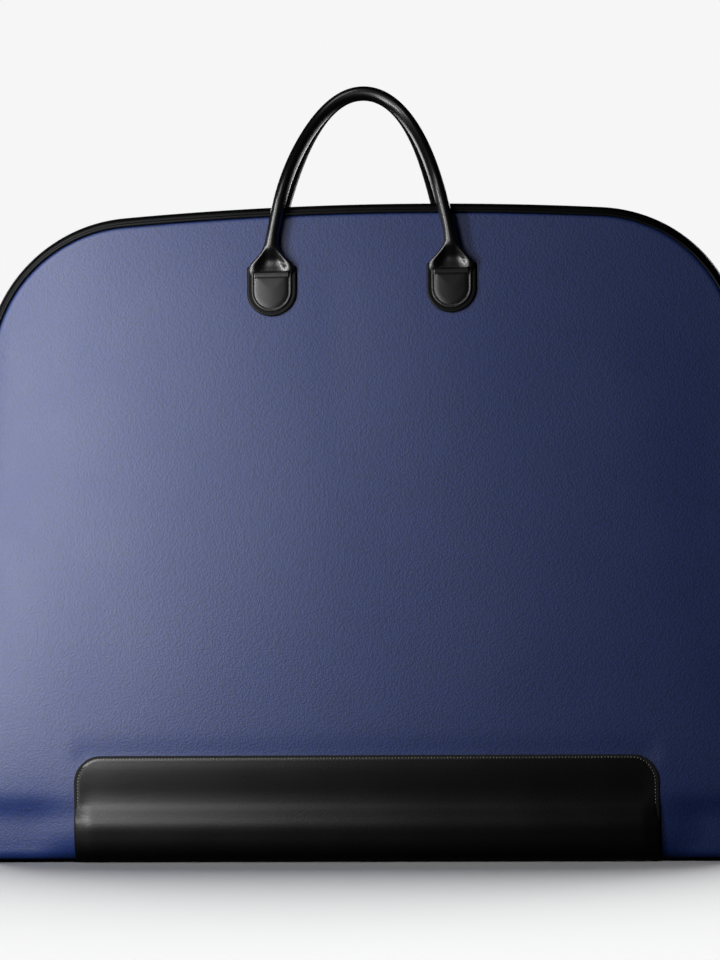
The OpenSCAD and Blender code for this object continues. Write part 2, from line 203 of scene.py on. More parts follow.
def upright(x, yz):
    """Points at one x from (depth, height) pairs of the front half."""
    return np.column_stack([np.full(len(yz), x), -yz[:, 0], yz[:, 1]])


def pushed(yz, out):
    """(depth, height) pairs moved outwards."""
    return yz + np.column_stack([out, np.zeros(len(yz))])


# ---- Paths round the three zipped sides ----

FOLD_STEPS, SIDE_STEPS, CORNER_STEPS, CROWN_STEPS = 16, 36, 30, 40
INNER_FOOT = np.array([0.0005, 0.022])      # depth and height where the gusset's edge begins


def left_rim(inset, depth, to_spine):
    """Points at an inset and a depth, from the lower left end to the middle of the top edge."""
    made = []
    if to_spine:
        seam = np.vstack([fold_section(0, 6, 12),
                          [(section_y(ZIP_FOOT, 0), ZIP_FOOT)]])
        seam = resample(seam, FOLD_STEPS + 1)[:-1]
        s = np.linspace(0, 1, FOLD_STEPS + 1)[:-1, None]
        edge = INNER_FOOT + s * (np.array([ZIP_EDGE, ZIP_FOOT]) - INNER_FOOT)
        q = np.clip((depth - ZIP_EDGE) / (HALF_T - ZIP_EDGE), 0, 1)
        yz = edge + (seam - edge) * q
        made.append(upright(inset - BODY_W / 2, yz))
    z = np.linspace(ZIP_FOOT, CORNER_Z, SIDE_STEPS, endpoint=False)
    made.append(np.column_stack([np.full(len(z), inset - BODY_W / 2),
                                 -depth * np.minimum(1, section_y(z, 0) / HALF_T), z]))
    t = np.linspace(math.pi, MEET, CORNER_STEPS, endpoint=False)
    made.append(np.column_stack([-(CORNER_X - (CORNER_R - inset) * np.cos(t)),
                                 np.full(len(t), -depth),
                                 CORNER_Z + (CORNER_R - inset) * np.sin(t)]))
    t = np.linspace(MEET, math.pi / 2, CROWN_STEPS // 2 + 1)
    made.append(np.column_stack([(CROWN_R - inset) * np.cos(t), np.full(len(t), -depth),
                                 BODY_H - CROWN_R + (CROWN_R - inset) * np.sin(t)]))
    return np.vstack(made)


def rim_line(inset, depth, to_spine=False):
    return mirrored(left_rim(inset, depth, to_spine))


# ---- Mesh building ----

def turned(points, angle):
    """Points turned about the Z axis."""
    c, s = math.cos(angle), math.sin(angle)
    return np.asarray(points, float) @ np.array([[c, s, 0], [-s, c, 0], [0, 0, 1]])


LEAN_RISE, LEAN_SHIFT = 0.0104, 0.0012


def leaned(points):
    """The soft shell's slight lean to one side: its right shoulder stands higher than its left."""
    x, y, z = np.asarray(points, float).T
    up = smooth((z - 0.12) / 0.33) * np.clip(x, -0.24, 0.24)
    return np.column_stack([x - LEAN_SHIFT * smooth((z - 0.47) / 0.12), y, z + LEAN_RISE * up])


def make_piece(name, points, faces, material, uv=None, edge=None, lean=True):
    mesh = bpy.data.meshes.new(name)
    points = leaned(points) if lean else np.asarray(points, float)
    mesh.from_pydata(points.tolist(), [], [tuple(f) for f in faces])
    mesh.update()
    mesh.shade_smooth()
    if uv is not None:
        layer = mesh.uv_layers.new(name="UVMap")
        index = np.zeros(len(mesh.loops), int)
        mesh.loops.foreach_get("vertex_index", index)
        layer.data.foreach_set("uv", np.asarray(uv, np.float32)[index].ravel())
    edge_tone = mesh.attributes.new("edge", "FLOAT", "POINT")
    if edge is not None:
        edge_tone.data.foreach_set("value", np.asarray(edge, np.float32))
    mesh.materials.append(material)
    piece = bpy.data.objects.new(name, mesh)
    scene.collection.objects.link(piece)
    return piece


def grid_faces(rows, cols, start=0, wrap=False, flip=False):
    i, j = np.meshgrid(np.arange(rows - 1), np.arange(cols if wrap else cols - 1), indexing="ij")
    k = (j + 1) % cols
    quads = np.stack([i * cols + j, i * cols + k, (i + 1) * cols + k, (i + 1) * cols + j],
                     -1).reshape(-1, 4) + start
    return quads[:, ::-1] if flip else quads


def tube_faces(rows, cols, flip=False):
    """Faces of a tube of rings, closed at both ends."""
    ends = range(cols)[::-1], range((rows - 1) * cols, rows * cols)
    return ([tuple(f) for f in grid_faces(rows, cols, wrap=True, flip=flip)]
            + [tuple(end[::-1] if flip else end) for end in ends])


def unit(v):
    return v / np.maximum(np.linalg.norm(v, axis=-1, keepdims=True), 1e-12)


def grid_normals(grid):
    return unit(np.cross(np.gradient(grid, axis=0), np.gradient(grid, axis=1)))


def grid_uv(grid):
    """Distances across and along a grid of points, from its first row and column."""
    u = np.linalg.norm(np.diff(grid, axis=1), axis=2)
    v = np.linalg.norm(np.diff(grid, axis=0), axis=2)
    u = np.concatenate([np.zeros((len(grid), 1)), np.cumsum(u, 1)], 1)
    v = np.concatenate([np.zeros((1, grid.shape[1])), np.cumsum(v, 0)], 0)
    return u - u[:, -1:] / 2, v


MID_BODY = (0, 0, 0.25)
RIM_TURNS = (45, 90, 135)
EDGE_TONE_WIDTH = 0.0012


def sheet_piece(name, grid, thickness, material, angle=0.0, inside=MID_BODY, facing="out",
                edge_tone=None):
    """A closed sheet with rounded edges, whose visible side is the grid."""
    rows, cols = grid.shape[:2]
    normal = grid_normals(grid)
    outward = np.sum(normal * (grid - np.asarray(inside)), -1).mean() > 0
    flip = outward != (facing == "out")
    if flip:
        normal = -normal
    u, v = grid_uv(grid)
    at = ([(0, j) for j in range(cols)] + [(i, cols - 1) for i in range(1, rows)]
          + [(rows - 1, j) for j in range(cols - 2, -1, -1)]
          + [(i, 0) for i in range(rows - 2, 0, -1)])
    bi, bj = np.array(at).T
    inner_i, inner_j = np.clip(bi, 1, rows - 2), np.clip(bj, 1, cols - 2)
    border, bn = grid[bi, bj], normal[bi, bj]
    out = unit(border - grid[inner_i, inner_j])
    out = unit(out - np.sum(out * bn, -1, keepdims=True) * bn)
    centre = border - bn * thickness / 2
    n = rows * cols
    rings = [bi * cols + bj]
    points = [grid.reshape(-1, 3), (grid - normal * thickness).reshape(-1, 3)]
    flat_uv = np.stack([u, v], -1).reshape(-1, 2)
    uvs = [flat_uv, flat_uv]
    away = unit(np.stack([bj - inner_j, bi - inner_i], -1).astype(float))
    for k, a in enumerate(RIM_TURNS):
        r = math.radians(a)
        points.append(centre + thickness / 2 * (math.cos(r) * bn + math.sin(r) * out))
        uvs.append(flat_uv[rings[0]] + away * thickness * (k + 1) / 2)
        rings.append(np.arange(len(at)) + 2 * n + k * len(at))
    rings.append(rings[0] + n)
    faces = [grid_faces(rows, cols, 0, flip=flip), grid_faces(rows, cols, n, flip=not flip)]
    for a, b in zip(rings, rings[1:]):
        strip = np.stack([a, b, np.roll(b, -1), np.roll(a, -1)], -1)
        faces.append(strip[:, ::-1] if flip else strip)
    if edge_tone is None:
        d = np.minimum.reduce([u - u[:, :1], u[:, -1:] - u, v - v[:1], v[-1:] - v])
        edge_tone = np.exp(-d / EDGE_TONE_WIDTH)
    edge = np.concatenate([np.tile(edge_tone.ravel(), 2), np.tile(edge_tone[bi, bj], len(RIM_TURNS))])
    return make_piece(name, turned(np.vstack(points), angle), np.vstack(faces), material,
                      np.vstack(uvs), edge)


def frames_along(path):
    """Two cross directions along a path that don't turn about it."""
    tangent = unit(np.gradient(path, axis=0))
    first = np.cross(tangent[0], [0, 1, 0])
    if np.linalg.norm(first) < 0.1:
        first = np.cross(tangent[0], [1, 0, 0])
    across = [unit(first)]
    for t in tangent[1:]:
        a = across[-1] - np.dot(across[-1], t) * t
        across.append(unit(a))
    across = np.array(across)
    return across, np.cross(tangent, across)


DOME_RINGS = np.array([0.02, 0.3, 0.6, 0.85])     # radii of the rings of a bar's domed end


def tube_piece(name, path, radius, material, angle=0.0, sides=14, lean=True):
    """A round bar along a path, with domed ends."""
    ahead = (radius * np.sqrt(1 - DOME_RINGS ** 2))[:, None]
    head = path[0] + unit(path[0] - path[1]) * ahead
    tail = path[-1] + unit(path[-1] - path[-2]) * ahead[::-1]
    radii = np.concatenate([radius * DOME_RINGS, np.full(len(path), radius),
                            radius * DOME_RINGS[::-1]])
    path = np.vstack([head, path, tail])
    a, b = frames_along(path)
    turn = np.linspace(0, 2 * math.pi, sides, endpoint=False)
    ring = (np.cos(turn)[None, :, None] * a[:, None] + np.sin(turn)[None, :, None] * b[:, None])
    grid = path[:, None] + ring * radii[:, None, None]
    uv = np.stack([np.tile(turn * radii.mean(), len(path)), np.repeat(along(path), sides)], -1)
    return make_piece(name, turned(grid.reshape(-1, 3), angle),
                      tube_faces(len(path), sides, flip=True), material, uv, lean=lean)


def copies(shape, faces, places, across, along_dir, up):
    """One small shape, drawn in (across, along, up), repeated at each place."""
    m = len(shape)
    points = (places[:, None] + shape[None, :, :1] * across[:, None]
              + shape[None, :, 1:2] * along_dir[:, None] + shape[None, :, 2:] * up[:, None])
    made = [tuple(v + i * m for v in f) for i in range(len(places)) for f in faces]
    return points.reshape(-1, 3), made


def thread_shape(length, radius):
    """One stitch: a short thread that dives into the leather at both ends."""
    sides, t = 6, np.linspace(-1, 1, 5)
    points = []
    for k in t:
        r = radius * (0.55 + 0.45 * math.sqrt(max(0, 1 - k * k)))
        for a in np.linspace(0, 2 * math.pi, sides, endpoint=False):
            points.append((r * math.cos(a), length / 2 * k,
                           r * 0.8 * math.sin(a) + radius * (0.5 - 1.1 * k * k)))
    return np.array(points), tube_faces(len(t), sides)


def stitch_piece(name, line, normals, pitch, length, radius, material, angle=0.0, slant=0.0):
    """A row of stitches along a line that lies on a surface. normals may be a single one."""
    s = along(line)
    count = max(2, int(s[-1] / pitch))
    at = (np.arange(count) + 0.5) * s[-1] / count
    places = sample(at, s, line)
    up = unit(sample(at, s, np.broadcast_to(normals, line.shape)))
    go = unit(sample(at, s, np.gradient(line, axis=0)))
    across = unit(np.cross(go, up))
    go = unit(go * math.cos(slant) + across * math.sin(slant))
    across = unit(np.cross(go, up))
    shape, faces = thread_shape(length, radius)
    points, made = copies(shape, faces, places, across, go, up)
    uv = np.tile(shape[:, :2], (count, 1))
    return make_piece(name, turned(points, angle), made, material, uv)


def fold_with(piece):
    """Bakes the piece's transform into its mesh."""
    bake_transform(piece)


def fitted(piece, nodes=(), body=None):
    """Hides the CAD nodes a piece stands for, and hangs the piece on the body it rides on."""
    if nodes:
        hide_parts(*nodes)
    if body:
        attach(piece, body)


# ---- Materials ----

class Paint:
    """A Principled material and the few node patterns that the pieces share."""

    def __init__(self, name, colour, roughness, metallic=0.0, specular=0.5, coords="UV"):
        self.material = bpy.data.materials.new(name)
        self.material.use_nodes = True
        self.tree = self.material.node_tree
        self.bsdf = self.tree.nodes["Principled BSDF"]
        self.colour = colour
        self.set("Base Color", (*colour, 1))
        self.set("Roughness", roughness)
        self.set("Metallic", metallic)
        self.set("Specular IOR Level", specular)
        self.place = self.node("ShaderNodeTexCoord").outputs[coords]

    def set(self, socket, value):
        self.bsdf.inputs[socket].default_value = value

    def node(self, kind, inputs=None, **settings):
        made = self.tree.nodes.new(kind)
        for key, value in settings.items():
            setattr(made, key, value)
        for key, value in (inputs or {}).items():
            self.feed(made.inputs[key], value)
        return made

    def feed(self, socket, value):
        if isinstance(value, bpy.types.NodeSocket):
            self.tree.links.new(value, socket)
        else:
            socket.default_value = value

    def math(self, operation, *values):
        made = self.node("ShaderNodeMath", operation=operation)
        for socket, value in zip(made.inputs, values):
            self.feed(socket, value)
        return made.outputs[0]

    def noise(self, size, detail=3.0):
        return self.node("ShaderNodeTexNoise", {"Vector": self.place, "Scale": 1 / size,
                                                "Detail": detail}).outputs["Fac"]

    def cells(self, size):
        return self.node("ShaderNodeTexVoronoi", {
            "Vector": self.place, "Scale": 1 / size, "Randomness": 0.92, "Smoothness": 0.35},
            feature="SMOOTH_F1").outputs["Distance"]

    def ribs(self, pitch, direction):
        """A wave from 0 to 1 that repeats at a pitch."""
        return self.node("ShaderNodeTexWave", {"Vector": self.place, "Scale": math.pi / 10 / pitch},
                         bands_direction=direction).outputs["Fac"]

    def spread(self, value, low, high, to_low, to_high):
        return self.node("ShaderNodeMapRange", {
            "Value": value, "From Min": low, "From Max": high,
            "To Min": to_low, "To Max": to_high}).outputs["Result"]

    def mix(self, share, first, second, blend_type="MIX"):
        """Two colours mixed. The node keeps its colour sockets at 6 and 7."""
        made = self.node("ShaderNodeMix", data_type="RGBA", blend_type=blend_type)
        for key, value in ((0, share), (6, first), (7, second)):
            self.feed(made.inputs[key], value)
        return made.outputs[2]

    def edge(self):
        return self.node("ShaderNodeAttribute", attribute_name="edge").outputs["Fac"]

    def shade(self, value, edge_tone=None, edge_tone_share=0.0):
        """Multiplies the colour by a pattern, and paints the piece's edges in a tone of their own.
        """
        result = self.mix(1.0, (*self.colour, 1), value, "MULTIPLY")
        if edge_tone:
            # the edge tone is edge wear, and on the shell and the tabs also a painted highlight
            # along the edge
            edge = self.edge()
            patchy = self.spread(self.noise(0.006), 0.35, 0.65, 0.2, 1.0)
            share = self.math("MULTIPLY", self.math("MULTIPLY", edge, patchy), edge_tone_share)
            result = self.mix(share, result, (*edge_tone, 1))
        self.feed(self.bsdf.inputs["Base Color"], result)

    def rim(self, colour, roughness):
        """Paints the piece's edge attribute in a colour and roughness of its own."""
        edge = self.edge()
        below = self.bsdf.inputs["Base Color"].links[0].from_socket
        self.feed(self.bsdf.inputs["Base Color"], self.mix(edge, below, (*colour, 1)))
        rough = self.bsdf.inputs["Roughness"].links[0].from_socket
        blend = self.node("ShaderNodeMix", {0: edge, 2: rough, 3: roughness})
        self.feed(self.bsdf.inputs["Roughness"], blend.outputs[0])

    def bump(self, height, depth):
        made = self.node("ShaderNodeBump", {"Height": height, "Distance": depth,
                                            "Strength": 1.0})
        self.feed(self.bsdf.inputs["Normal"], made.outputs["Normal"])

    def roughen(self, value, low, high):
        self.feed(self.bsdf.inputs["Roughness"], self.spread(value, 0.3, 0.7, low, high))


def leather(name, colour, roughness, cell, depth, specular=0.5, coords="UV", crease_shade=0.25,
            edge_tone=None, edge_tone_share=0.0, rim=None):
    """Grained leather: domed cells with fine creases between them, and slow colour drift."""
    p = Paint(name, colour, roughness, specular=specular, coords=coords)
    cells = p.cells(cell)
    fine = p.noise(cell / 3)
    drift = p.noise(0.05, 2)
    dome = p.math("SUBTRACT", 1.0, p.spread(cells, 0.0, 0.75, 0.0, 1.0))
    p.bump(p.math("MULTIPLY_ADD", fine, 0.35, dome), depth)
    # painted shade: the creases between the cells are darkened in the colour by up to crease_shade
    dark = p.spread(cells, 0.25, 0.8, 1.0, 1 - crease_shade)
    p.shade(p.math("MULTIPLY", dark, p.spread(drift, 0.3, 0.7, 0.97, 1.03)), edge_tone, edge_tone_share)
    p.roughen(p.math("MULTIPLY_ADD", fine, 0.8, p.math("MULTIPLY", drift, 0.2)),
              roughness - 0.05, roughness + 0.07)
    if rim:
        p.rim(*rim)
    return p.material


def woven(name, colour, pitch, depth, roughness=0.8, rib=None, edge_tone=None):
    """Cloth: warp and weft waves that take turns, with slubs and a slight sheen."""
    p = Paint(name, colour, roughness, specular=0.3)
    p.set("Sheen Weight", 0.25)
    p.set("Sheen Roughness", 0.5)
    warp, weft = p.ribs(pitch, "X"), p.ribs(pitch if rib is None else rib, "Y")
    over = p.math("MAXIMUM", warp, p.math("MULTIPLY", weft, 0.85))
    slub = p.noise(pitch * 5)
    p.bump(p.math("MULTIPLY_ADD", slub, 0.3, over), depth)
    p.shade(p.math("MULTIPLY", p.spread(over, 0.0, 1.0, 0.7, 1.08),
                   p.spread(slub, 0.3, 0.7, 0.9, 1.1)), edge_tone, 0.6 if edge_tone else 0)
    return p.material


def metal(name, colour, roughness):
    """Plated metal with fine rubbing and a few duller patches."""
    p = Paint(name, colour, roughness, metallic=1.0, coords="Object")
    rub, cloud = p.noise(0.0006, 4), p.noise(0.012, 2)
    p.roughen(p.math("MULTIPLY_ADD", rub, 0.5, p.math("MULTIPLY", cloud, 0.5)),
              roughness - 0.08, roughness + 0.14)
    p.shade(p.spread(cloud, 0.3, 0.7, 0.86, 1.05))
    p.bump(rub, 0.00002)
    return p.material


def board(name, colour):
    p = Paint(name, colour, 0.85, specular=0.2, coords="Object")
    fibre = p.noise(0.002, 6)
    p.shade(p.spread(fibre, 0.3, 0.7, 0.75, 1.15))
    p.bump(fibre, 0.0001)
    return p.material


# its edges take a lighter grey-blue: edge wear, and a painted highlight along the turned edge
SHELL = leather("shell_leatherette", (0.0020, 0.0225, 0.1420), 0.50, 0.0015, 0.00009,
                specular=0.88, crease_shade=0.35, edge_tone=(0.02, 0.04, 0.15), edge_tone_share=0.3)
GRIP = leather("grip_leather", (0.002, 0.002, 0.002), 0.28, 0.0011, 0.000008, specular=1.0,
               crease_shade=0.2, edge_tone=(0.004, 0.004, 0.004), edge_tone_share=0.5)
# its edges take a pale beige: edge wear, and a painted highlight on the bevel round the tab
PATCH = leather("tab_leather", (0.003, 0.003, 0.0031), 0.32, 0.0009, 0.00002, specular=0.7,
                crease_shade=0.2, edge_tone=(0.10, 0.095, 0.085), edge_tone_share=0.55)
# its rim is painted blacker and matte: edge paint, and painted shade up the sides where the guard
# stands off the shell
GUARD = leather("guard_leather", (0.002, 0.002, 0.002), 0.31, 0.0015, 0.00002, specular=0.6,
                crease_shade=0.3, rim=((0.0008, 0.0008, 0.0009), 0.95))
TRIM_LOOK = (0.0015, 0.0017, 0.0024), 0.42, 0.0012, 0.00003
TRIM = leather("trim_leather", *TRIM_LOOK, specular=0.2, crease_shade=0.2, edge_tone=(0.004, 0.004, 0.005),
               edge_tone_share=0.3)
TRIM_CAD = leather("trim_leather_flat", *TRIM_LOOK, specular=0.2, coords="Object")
# its edges are painted darker
LINING = woven("lining_twill", (0.045, 0.048, 0.062), 0.0009, 0.00006,
               edge_tone=(0.02, 0.02, 0.025))
BINDING = woven("binding_tape", (0.010, 0.010, 0.013), 0.0011, 0.00009, rib=0.0006)
WEBBING = woven("elastic_webbing", (0.012, 0.012, 0.015), 0.0016, 0.00015, rib=0.0007)
TAPE = woven("zip_tape_weave", (0.011, 0.012, 0.017), 0.0012, 0.0001, rib=0.0012)
THREAD = woven("thread", (0.21, 0.195, 0.15), 0.0005, 0.00004, roughness=0.6)
DARK_THREAD = woven("dark_thread", (0.035, 0.034, 0.032), 0.0005, 0.00004, roughness=0.6)
ZIP_METAL = metal("zip_metal", (0.30, 0.29, 0.28), 0.34)
STEEL = metal("polished_steel", (0.56, 0.57, 0.58), 0.22)
BOARD = board("fibre_board", (0.16, 0.11, 0.07))
PLASTIC = leather("base_plastic", (0.012, 0.012, 0.013), 0.42, 0.0007, 0.00002,
                  coords="Object", crease_shade=0.1)


# ---- Shell of a half ----

def face_columns():
    """Places across the face, close together beside its two edges."""
    turn = np.linspace(0, math.pi - MEET, 28, endpoint=False)
    arc = CORNER_X + (CORNER_R - SEAM_IN) * np.cos(turn)
    crown = np.linspace((CROWN_R - SEAM_IN) * -math.cos(MEET), 0, 24)
    return both_ways(np.concatenate([arc, crown]))


def dent(x, z):
    """How far the stitching of the guard and of the tabs draws the face in."""
    across = smooth((GUARD_HALF + 0.004 - np.abs(x)) / 0.012)
    above = np.where(z > GUARD_H, 0.011, 0.008)
    line = 0.0011 * np.exp(-((z - GUARD_H) / above) ** 2) * across
    tab = np.hypot((np.abs(x) - TAB_X) / 0.026, (z - TAB_MID) / 0.029)
    return line + 0.0003 * np.exp(-tab ** 4)


def ripple(x, z):
    """Slow unevenness of the stretched face."""
    calm = smooth((z - 0.10) / 0.06) * smooth((inset_at(x, z) - 0.02) / 0.05)
    slow = (0.00022 * np.sin(17 * x + 1.3) * np.cos(11 * z + 0.4)
            + 0.00016 * np.sin(29 * x - 19 * z + 0.7) + 0.00010 * np.sin(47 * x + 13 * z))
    line = np.exp(-((x + 0.022 + 0.05 * (z - 0.4)) / 0.018) ** 2)
    drape = 0.00035 * line * smooth((z - 0.25) / 0.2)
    return calm * (slow - drape)


def rolled_edge(d, width, drop):
    """How far an edge turns under at a distance d inwards from it."""
    return drop * np.clip(1 - d / width, 0, 1) ** 2


RISE_TOP = 0.104        # the face's rows are closer together below this height
TOP_ROWS = np.array([0.0075, 0.005, 0.0034, 0.0024, 0.0016, 0.0010, 0.0005, 0.0])


def face_grid():
    """The face from the spine to the top line, and its distance from the edge."""
    x = face_columns()
    low = fold_section(0.0, 7, 18)[:-1]
    rise_rows = np.linspace(ROLL_CZ, RISE_TOP, 20, endpoint=False)
    columns = []
    for xi, top in zip(x, top_at(x, SEAM_IN)):
        z = np.concatenate([rise_rows, np.linspace(RISE_TOP, top - 0.011, 62), top - TOP_ROWS])
        y = face_y(xi, z, 0.0) - dent(xi, z) + ripple(xi, z)
        fold = pushed(low, stiffened(xi, low[:, 1]))
        columns.append(upright(xi, np.vstack([fold, np.column_stack([y, z])])))
    grid = np.stack(columns, 1)
    d = np.where(grid[..., 2] > CORNER_Z, inset_at(grid[..., 0], grid[..., 2]),
                 BODY_W / 2 - np.abs(grid[..., 0])) - SEAM_IN
    return grid, np.maximum(d, 0)


def outward_normals(grid):
    n = grid_normals(grid)
    return n if np.sum(n * (grid - MID_BODY), -1).mean() > 0 else -n


SETTLE_FRAMES, SETTLE_PRESSURE, SETTLE_CAP = 14, 1.4, 0.0022


def settled(grid, held):
    """The face as stretched cloth, held along its seams and stitching and pressed out by its
    foam. Returns the same grid of points, moved by at most SETTLE_CAP."""
    rows, cols = grid.shape[:2]
    cloth = make_piece("settling", grid.reshape(-1, 3), grid_faces(rows, cols, flip=True), SHELL)
    group = cloth.vertex_groups.new(name="held")
    for i in np.flatnonzero(held.ravel()):
        group.add([int(i)], 1.0, "REPLACE")
    modifier = cloth.modifiers.new("Cloth", "CLOTH")
    s = modifier.settings
    s.vertex_group_mass = "held"
    s.quality, s.mass = 6, 0.4
    s.tension_stiffness = s.compression_stiffness = 60
    s.shear_stiffness, s.bending_stiffness = 30, 8
    s.use_pressure, s.uniform_pressure_force = True, SETTLE_PRESSURE
    s.effector_weights.gravity = 0
    scene.frame_start, scene.frame_end = 1, SETTLE_FRAMES
    modifier.point_cache.frame_start, modifier.point_cache.frame_end = 1, SETTLE_FRAMES
    for f in range(1, SETTLE_FRAMES + 1):
        scene.frame_set(f)
    done = cloth.evaluated_get(bpy.context.evaluated_depsgraph_get()).to_mesh()
    co = np.zeros(len(done.vertices) * 3)
    done.vertices.foreach_get("co", co)
    moved = co.reshape(rows, cols, 3) - grid
    scene.frame_set(1)
    bpy.data.objects.remove(cloth)
    most = np.linalg.norm(moved, axis=-1).max()
    return grid + moved * min(1, SETTLE_CAP / most)


def held_points(grid, d):
    x, z = np.abs(grid[..., 0]), grid[..., 2]
    under_guard = (z < GUARD_H + 0.001) & (x < GUARD_HALF + 0.001)
    under_tab = np.hypot((x - TAB_X) / 0.0192, (z - TAB_MID) / 0.0195) < 1
    return (z < ROLL_CZ) | (d < 0.0045) | under_guard | under_tab


SKIN_EDGE, GUARD_EDGE = (0.0026, 0.0010), (0.0022, 0.0007)     # width and drop of rolled edges


def shell_grid():
    grid, d = face_grid()
    grid = settled(grid, held_points(grid, d))
    return grid - outward_normals(grid) * rolled_edge(d, *SKIN_EDGE)[..., None]


def guard_border(x, z):
    """Distance inwards from the guard's outline."""
    ax, cx, cz = np.abs(x), GUARD_HALF - GUARD_R, GUARD_H - GUARD_R
    corner = GUARD_R - np.hypot(ax - cx, z - cz)
    return np.where((ax > cx) & (z > cz), corner, np.minimum(GUARD_HALF - ax, GUARD_H - z))


GUARD_STITCH_IN, GUARD_STITCH_SIDE = 0.0019, 0.0030
# height and how far the guard stands off the shell: hollow below its edge, full at its fold line
GUARD_FORM = through(np.array([
    [0, 0], [2, 1.0], [4, 2.1], [7, 3.0], [12, 3.3], [20, 3.0], [26, 3.0], [29, 2.9], [33, 2.5],
    [40, 1.3], [47, -0.3], [54, -0.9], [64, -0.6], [74, -0.2], [82, 0]]) / 1000, 400)


def guard_form(x, z):
    """Stand-off of the guard, which its stitched sides hold closer to the shell."""
    held = 0.45 + 0.55 * smooth((GUARD_HALF - np.abs(x)) / 0.014)
    return np.interp(z, GUARD_FORM[:, 0], GUARD_FORM[:, 1]) * held


def guard_surface(x, z):
    """Depth of the guard's outer side, with its rounded edge and its stitched groove."""
    d = guard_border(x, z)
    groove = 0.00028 * np.exp(-((d - GUARD_STITCH_IN) / 0.0007) ** 2)
    return (face_y(x, z, GUARD_T) + guard_form(x, z) - 0.4 * dent(x, z)
            - rolled_edge(d, *GUARD_EDGE) - groove)


def guard_grid():
    turn = np.linspace(0, math.pi / 2, 14, endpoint=False)
    cx, cz = GUARD_HALF - GUARD_R, GUARD_H - GUARD_R
    crown_x = np.linspace(cx, 0, 34)
    right_top = np.concatenate([cz + GUARD_R * np.sin(turn), np.full(len(crown_x), GUARD_H)])
    x = both_ways(np.concatenate([cx + GUARD_R * np.cos(turn), crown_x]))
    tops = np.concatenate([right_top, right_top[:-1][::-1]])
    low = fold_section(GUARD_T, 7, 40)[:-1]
    near_top = np.array([0.0062, 0.0046, 0.0038, 0.0033, 0.0029, 0.0025, 0.0020, 0.0014, 0.0008,
                         0.0003, 0.0])
    columns = []
    for xi, top in zip(x, tops):
        z = np.concatenate([np.linspace(ROLL_CZ, top - 0.008, 24), top - near_top])
        side = rolled_edge(GUARD_HALF - abs(xi), *GUARD_EDGE)
        out = guard_form(xi, low[:, 1]) + stiffened(xi, low[:, 1])
        foot = pushed(low, out - np.where(low[:, 1] > 0.001, side, 0))
        rise = np.column_stack([guard_surface(xi, z), z])
        columns.append(upright(xi, np.vstack([foot, rise])))
    return np.stack(columns, 1)


def guard_stitch_line():
    """Up the left side from the crease, over the top edge and down the right side."""
    cx, cz = GUARD_HALF - GUARD_R, GUARD_H - GUARD_R
    out, up = GUARD_R - GUARD_STITCH_SIDE, GUARD_R - GUARD_STITCH_IN
    turn = np.linspace(0, math.pi / 2, 12)
    left = [(-(cx + out), z) for z in np.linspace(CREASE_Z + 0.004, cz, 6, endpoint=False)]
    left += [(-(cx + out * math.cos(t)), cz + up * math.sin(t)) for t in turn]
    top = [(x, GUARD_H - GUARD_STITCH_IN) for x in np.linspace(-cx, 0, 60)[1:]]
    x, z = mirrored(np.array(left + top)).T
    return np.column_stack([x, -guard_surface(x, z), z])


def guard_rim(grid):
    """1 on the guard's darker, matte rim, which narrows to nothing at its lower corners."""
    x, z = grid[..., 0], grid[..., 2]
    to_top, to_side = GUARD_H - z, GUARD_HALF - np.abs(x)
    # a narrow band of edge paint along the top; up the sides it widens into painted shade where the
    # guard stands off the shell
    wide = 0.0016 + (0.0032 * smooth((z - 0.024) / 0.03) - 0.0016) * (to_side < to_top)
    return smooth((wide - guard_border(x, z)) / 0.0008 + 0.5) * (wide > 0.0003)


# profiles as [inset, depth], from the outer seam to the edge beside the zip
GUSSET_PROFILE = through(np.array([[5.2, 44.4], [2.6, 43], [0.8, 38.5], [0, 31], [0.7, 23],
                                   [2.6, 16.5], [4.6, 13]]) / 1000, 17)
TAPE_PROFILE = np.column_stack([np.full(7, 0.0062), np.linspace(0.0175, 0.0026, 7)])
WALL_PROFILE = through(np.array([[12.0, 38.2], [9.6, 37.6], [8.3, 35.0], [8.0, 26], [7.8, 17.2]])
                       / 1000, 12)


def rim_grid(profile, to_spine):
    return np.stack([rim_line(i, d, to_spine) for i, d in profile], 1)


def rim_sheet(name, profile, thickness, material, angle, to_spine, facing="out"):
    return sheet_piece(name, rim_grid(profile, to_spine), thickness, material, angle,
                       facing=facing)


# ---- Zip ----

TOOTH_PITCH, TOOTH_IN, TOOTH_HEIGHT = 0.0026, 0.0066, 0.0024


def tooth_shape():
    """A tooth with a broad foot on the tape, a narrower neck and a rounded head."""
    halves = [(0.0032, 0.00052, 1.0), (0.0026, 0.00056, 1.0), (0.0014, 0.00040, 0.86),
              (0.0006, 0.00058, 0.92), (-0.0001, 0.00058, 0.92), (-0.00045, 0.00036, 0.7)]
    points, h = [], TOOTH_HEIGHT / 2
    for depth, half, tall in halves:
        for a, b in ((-1, -0.7), (-0.7, -1), (0.7, -1), (1, -0.7),
                     (1, 0.7), (0.7, 1), (-0.7, 1), (-1, 0.7)):
            points.append((half * a, depth, h * tall * b))
    return np.array(points), tube_faces(len(halves), 8)


def zip_teeth(name, angle, shift):
    line = rim_line(TOOTH_IN, 0.0)
    s = along(line)
    at = np.arange(TOOTH_PITCH * (0.6 + shift), s[-1] - TOOTH_PITCH * 0.5, TOOTH_PITCH)
    go = unit(sample(at, s, np.gradient(line, axis=0)))
    back = np.tile([0.0, -1.0, 0.0], (len(at), 1))
    points, made = copies(*tooth_shape(), sample(at, s, line), go, back,
                          unit(np.cross(go, back)))
    uv = np.tile(tooth_shape()[0][:, :2], (len(at), 1))
    return make_piece(name, turned(points, angle), made, ZIP_METAL, uv)


# ---- Handles ----

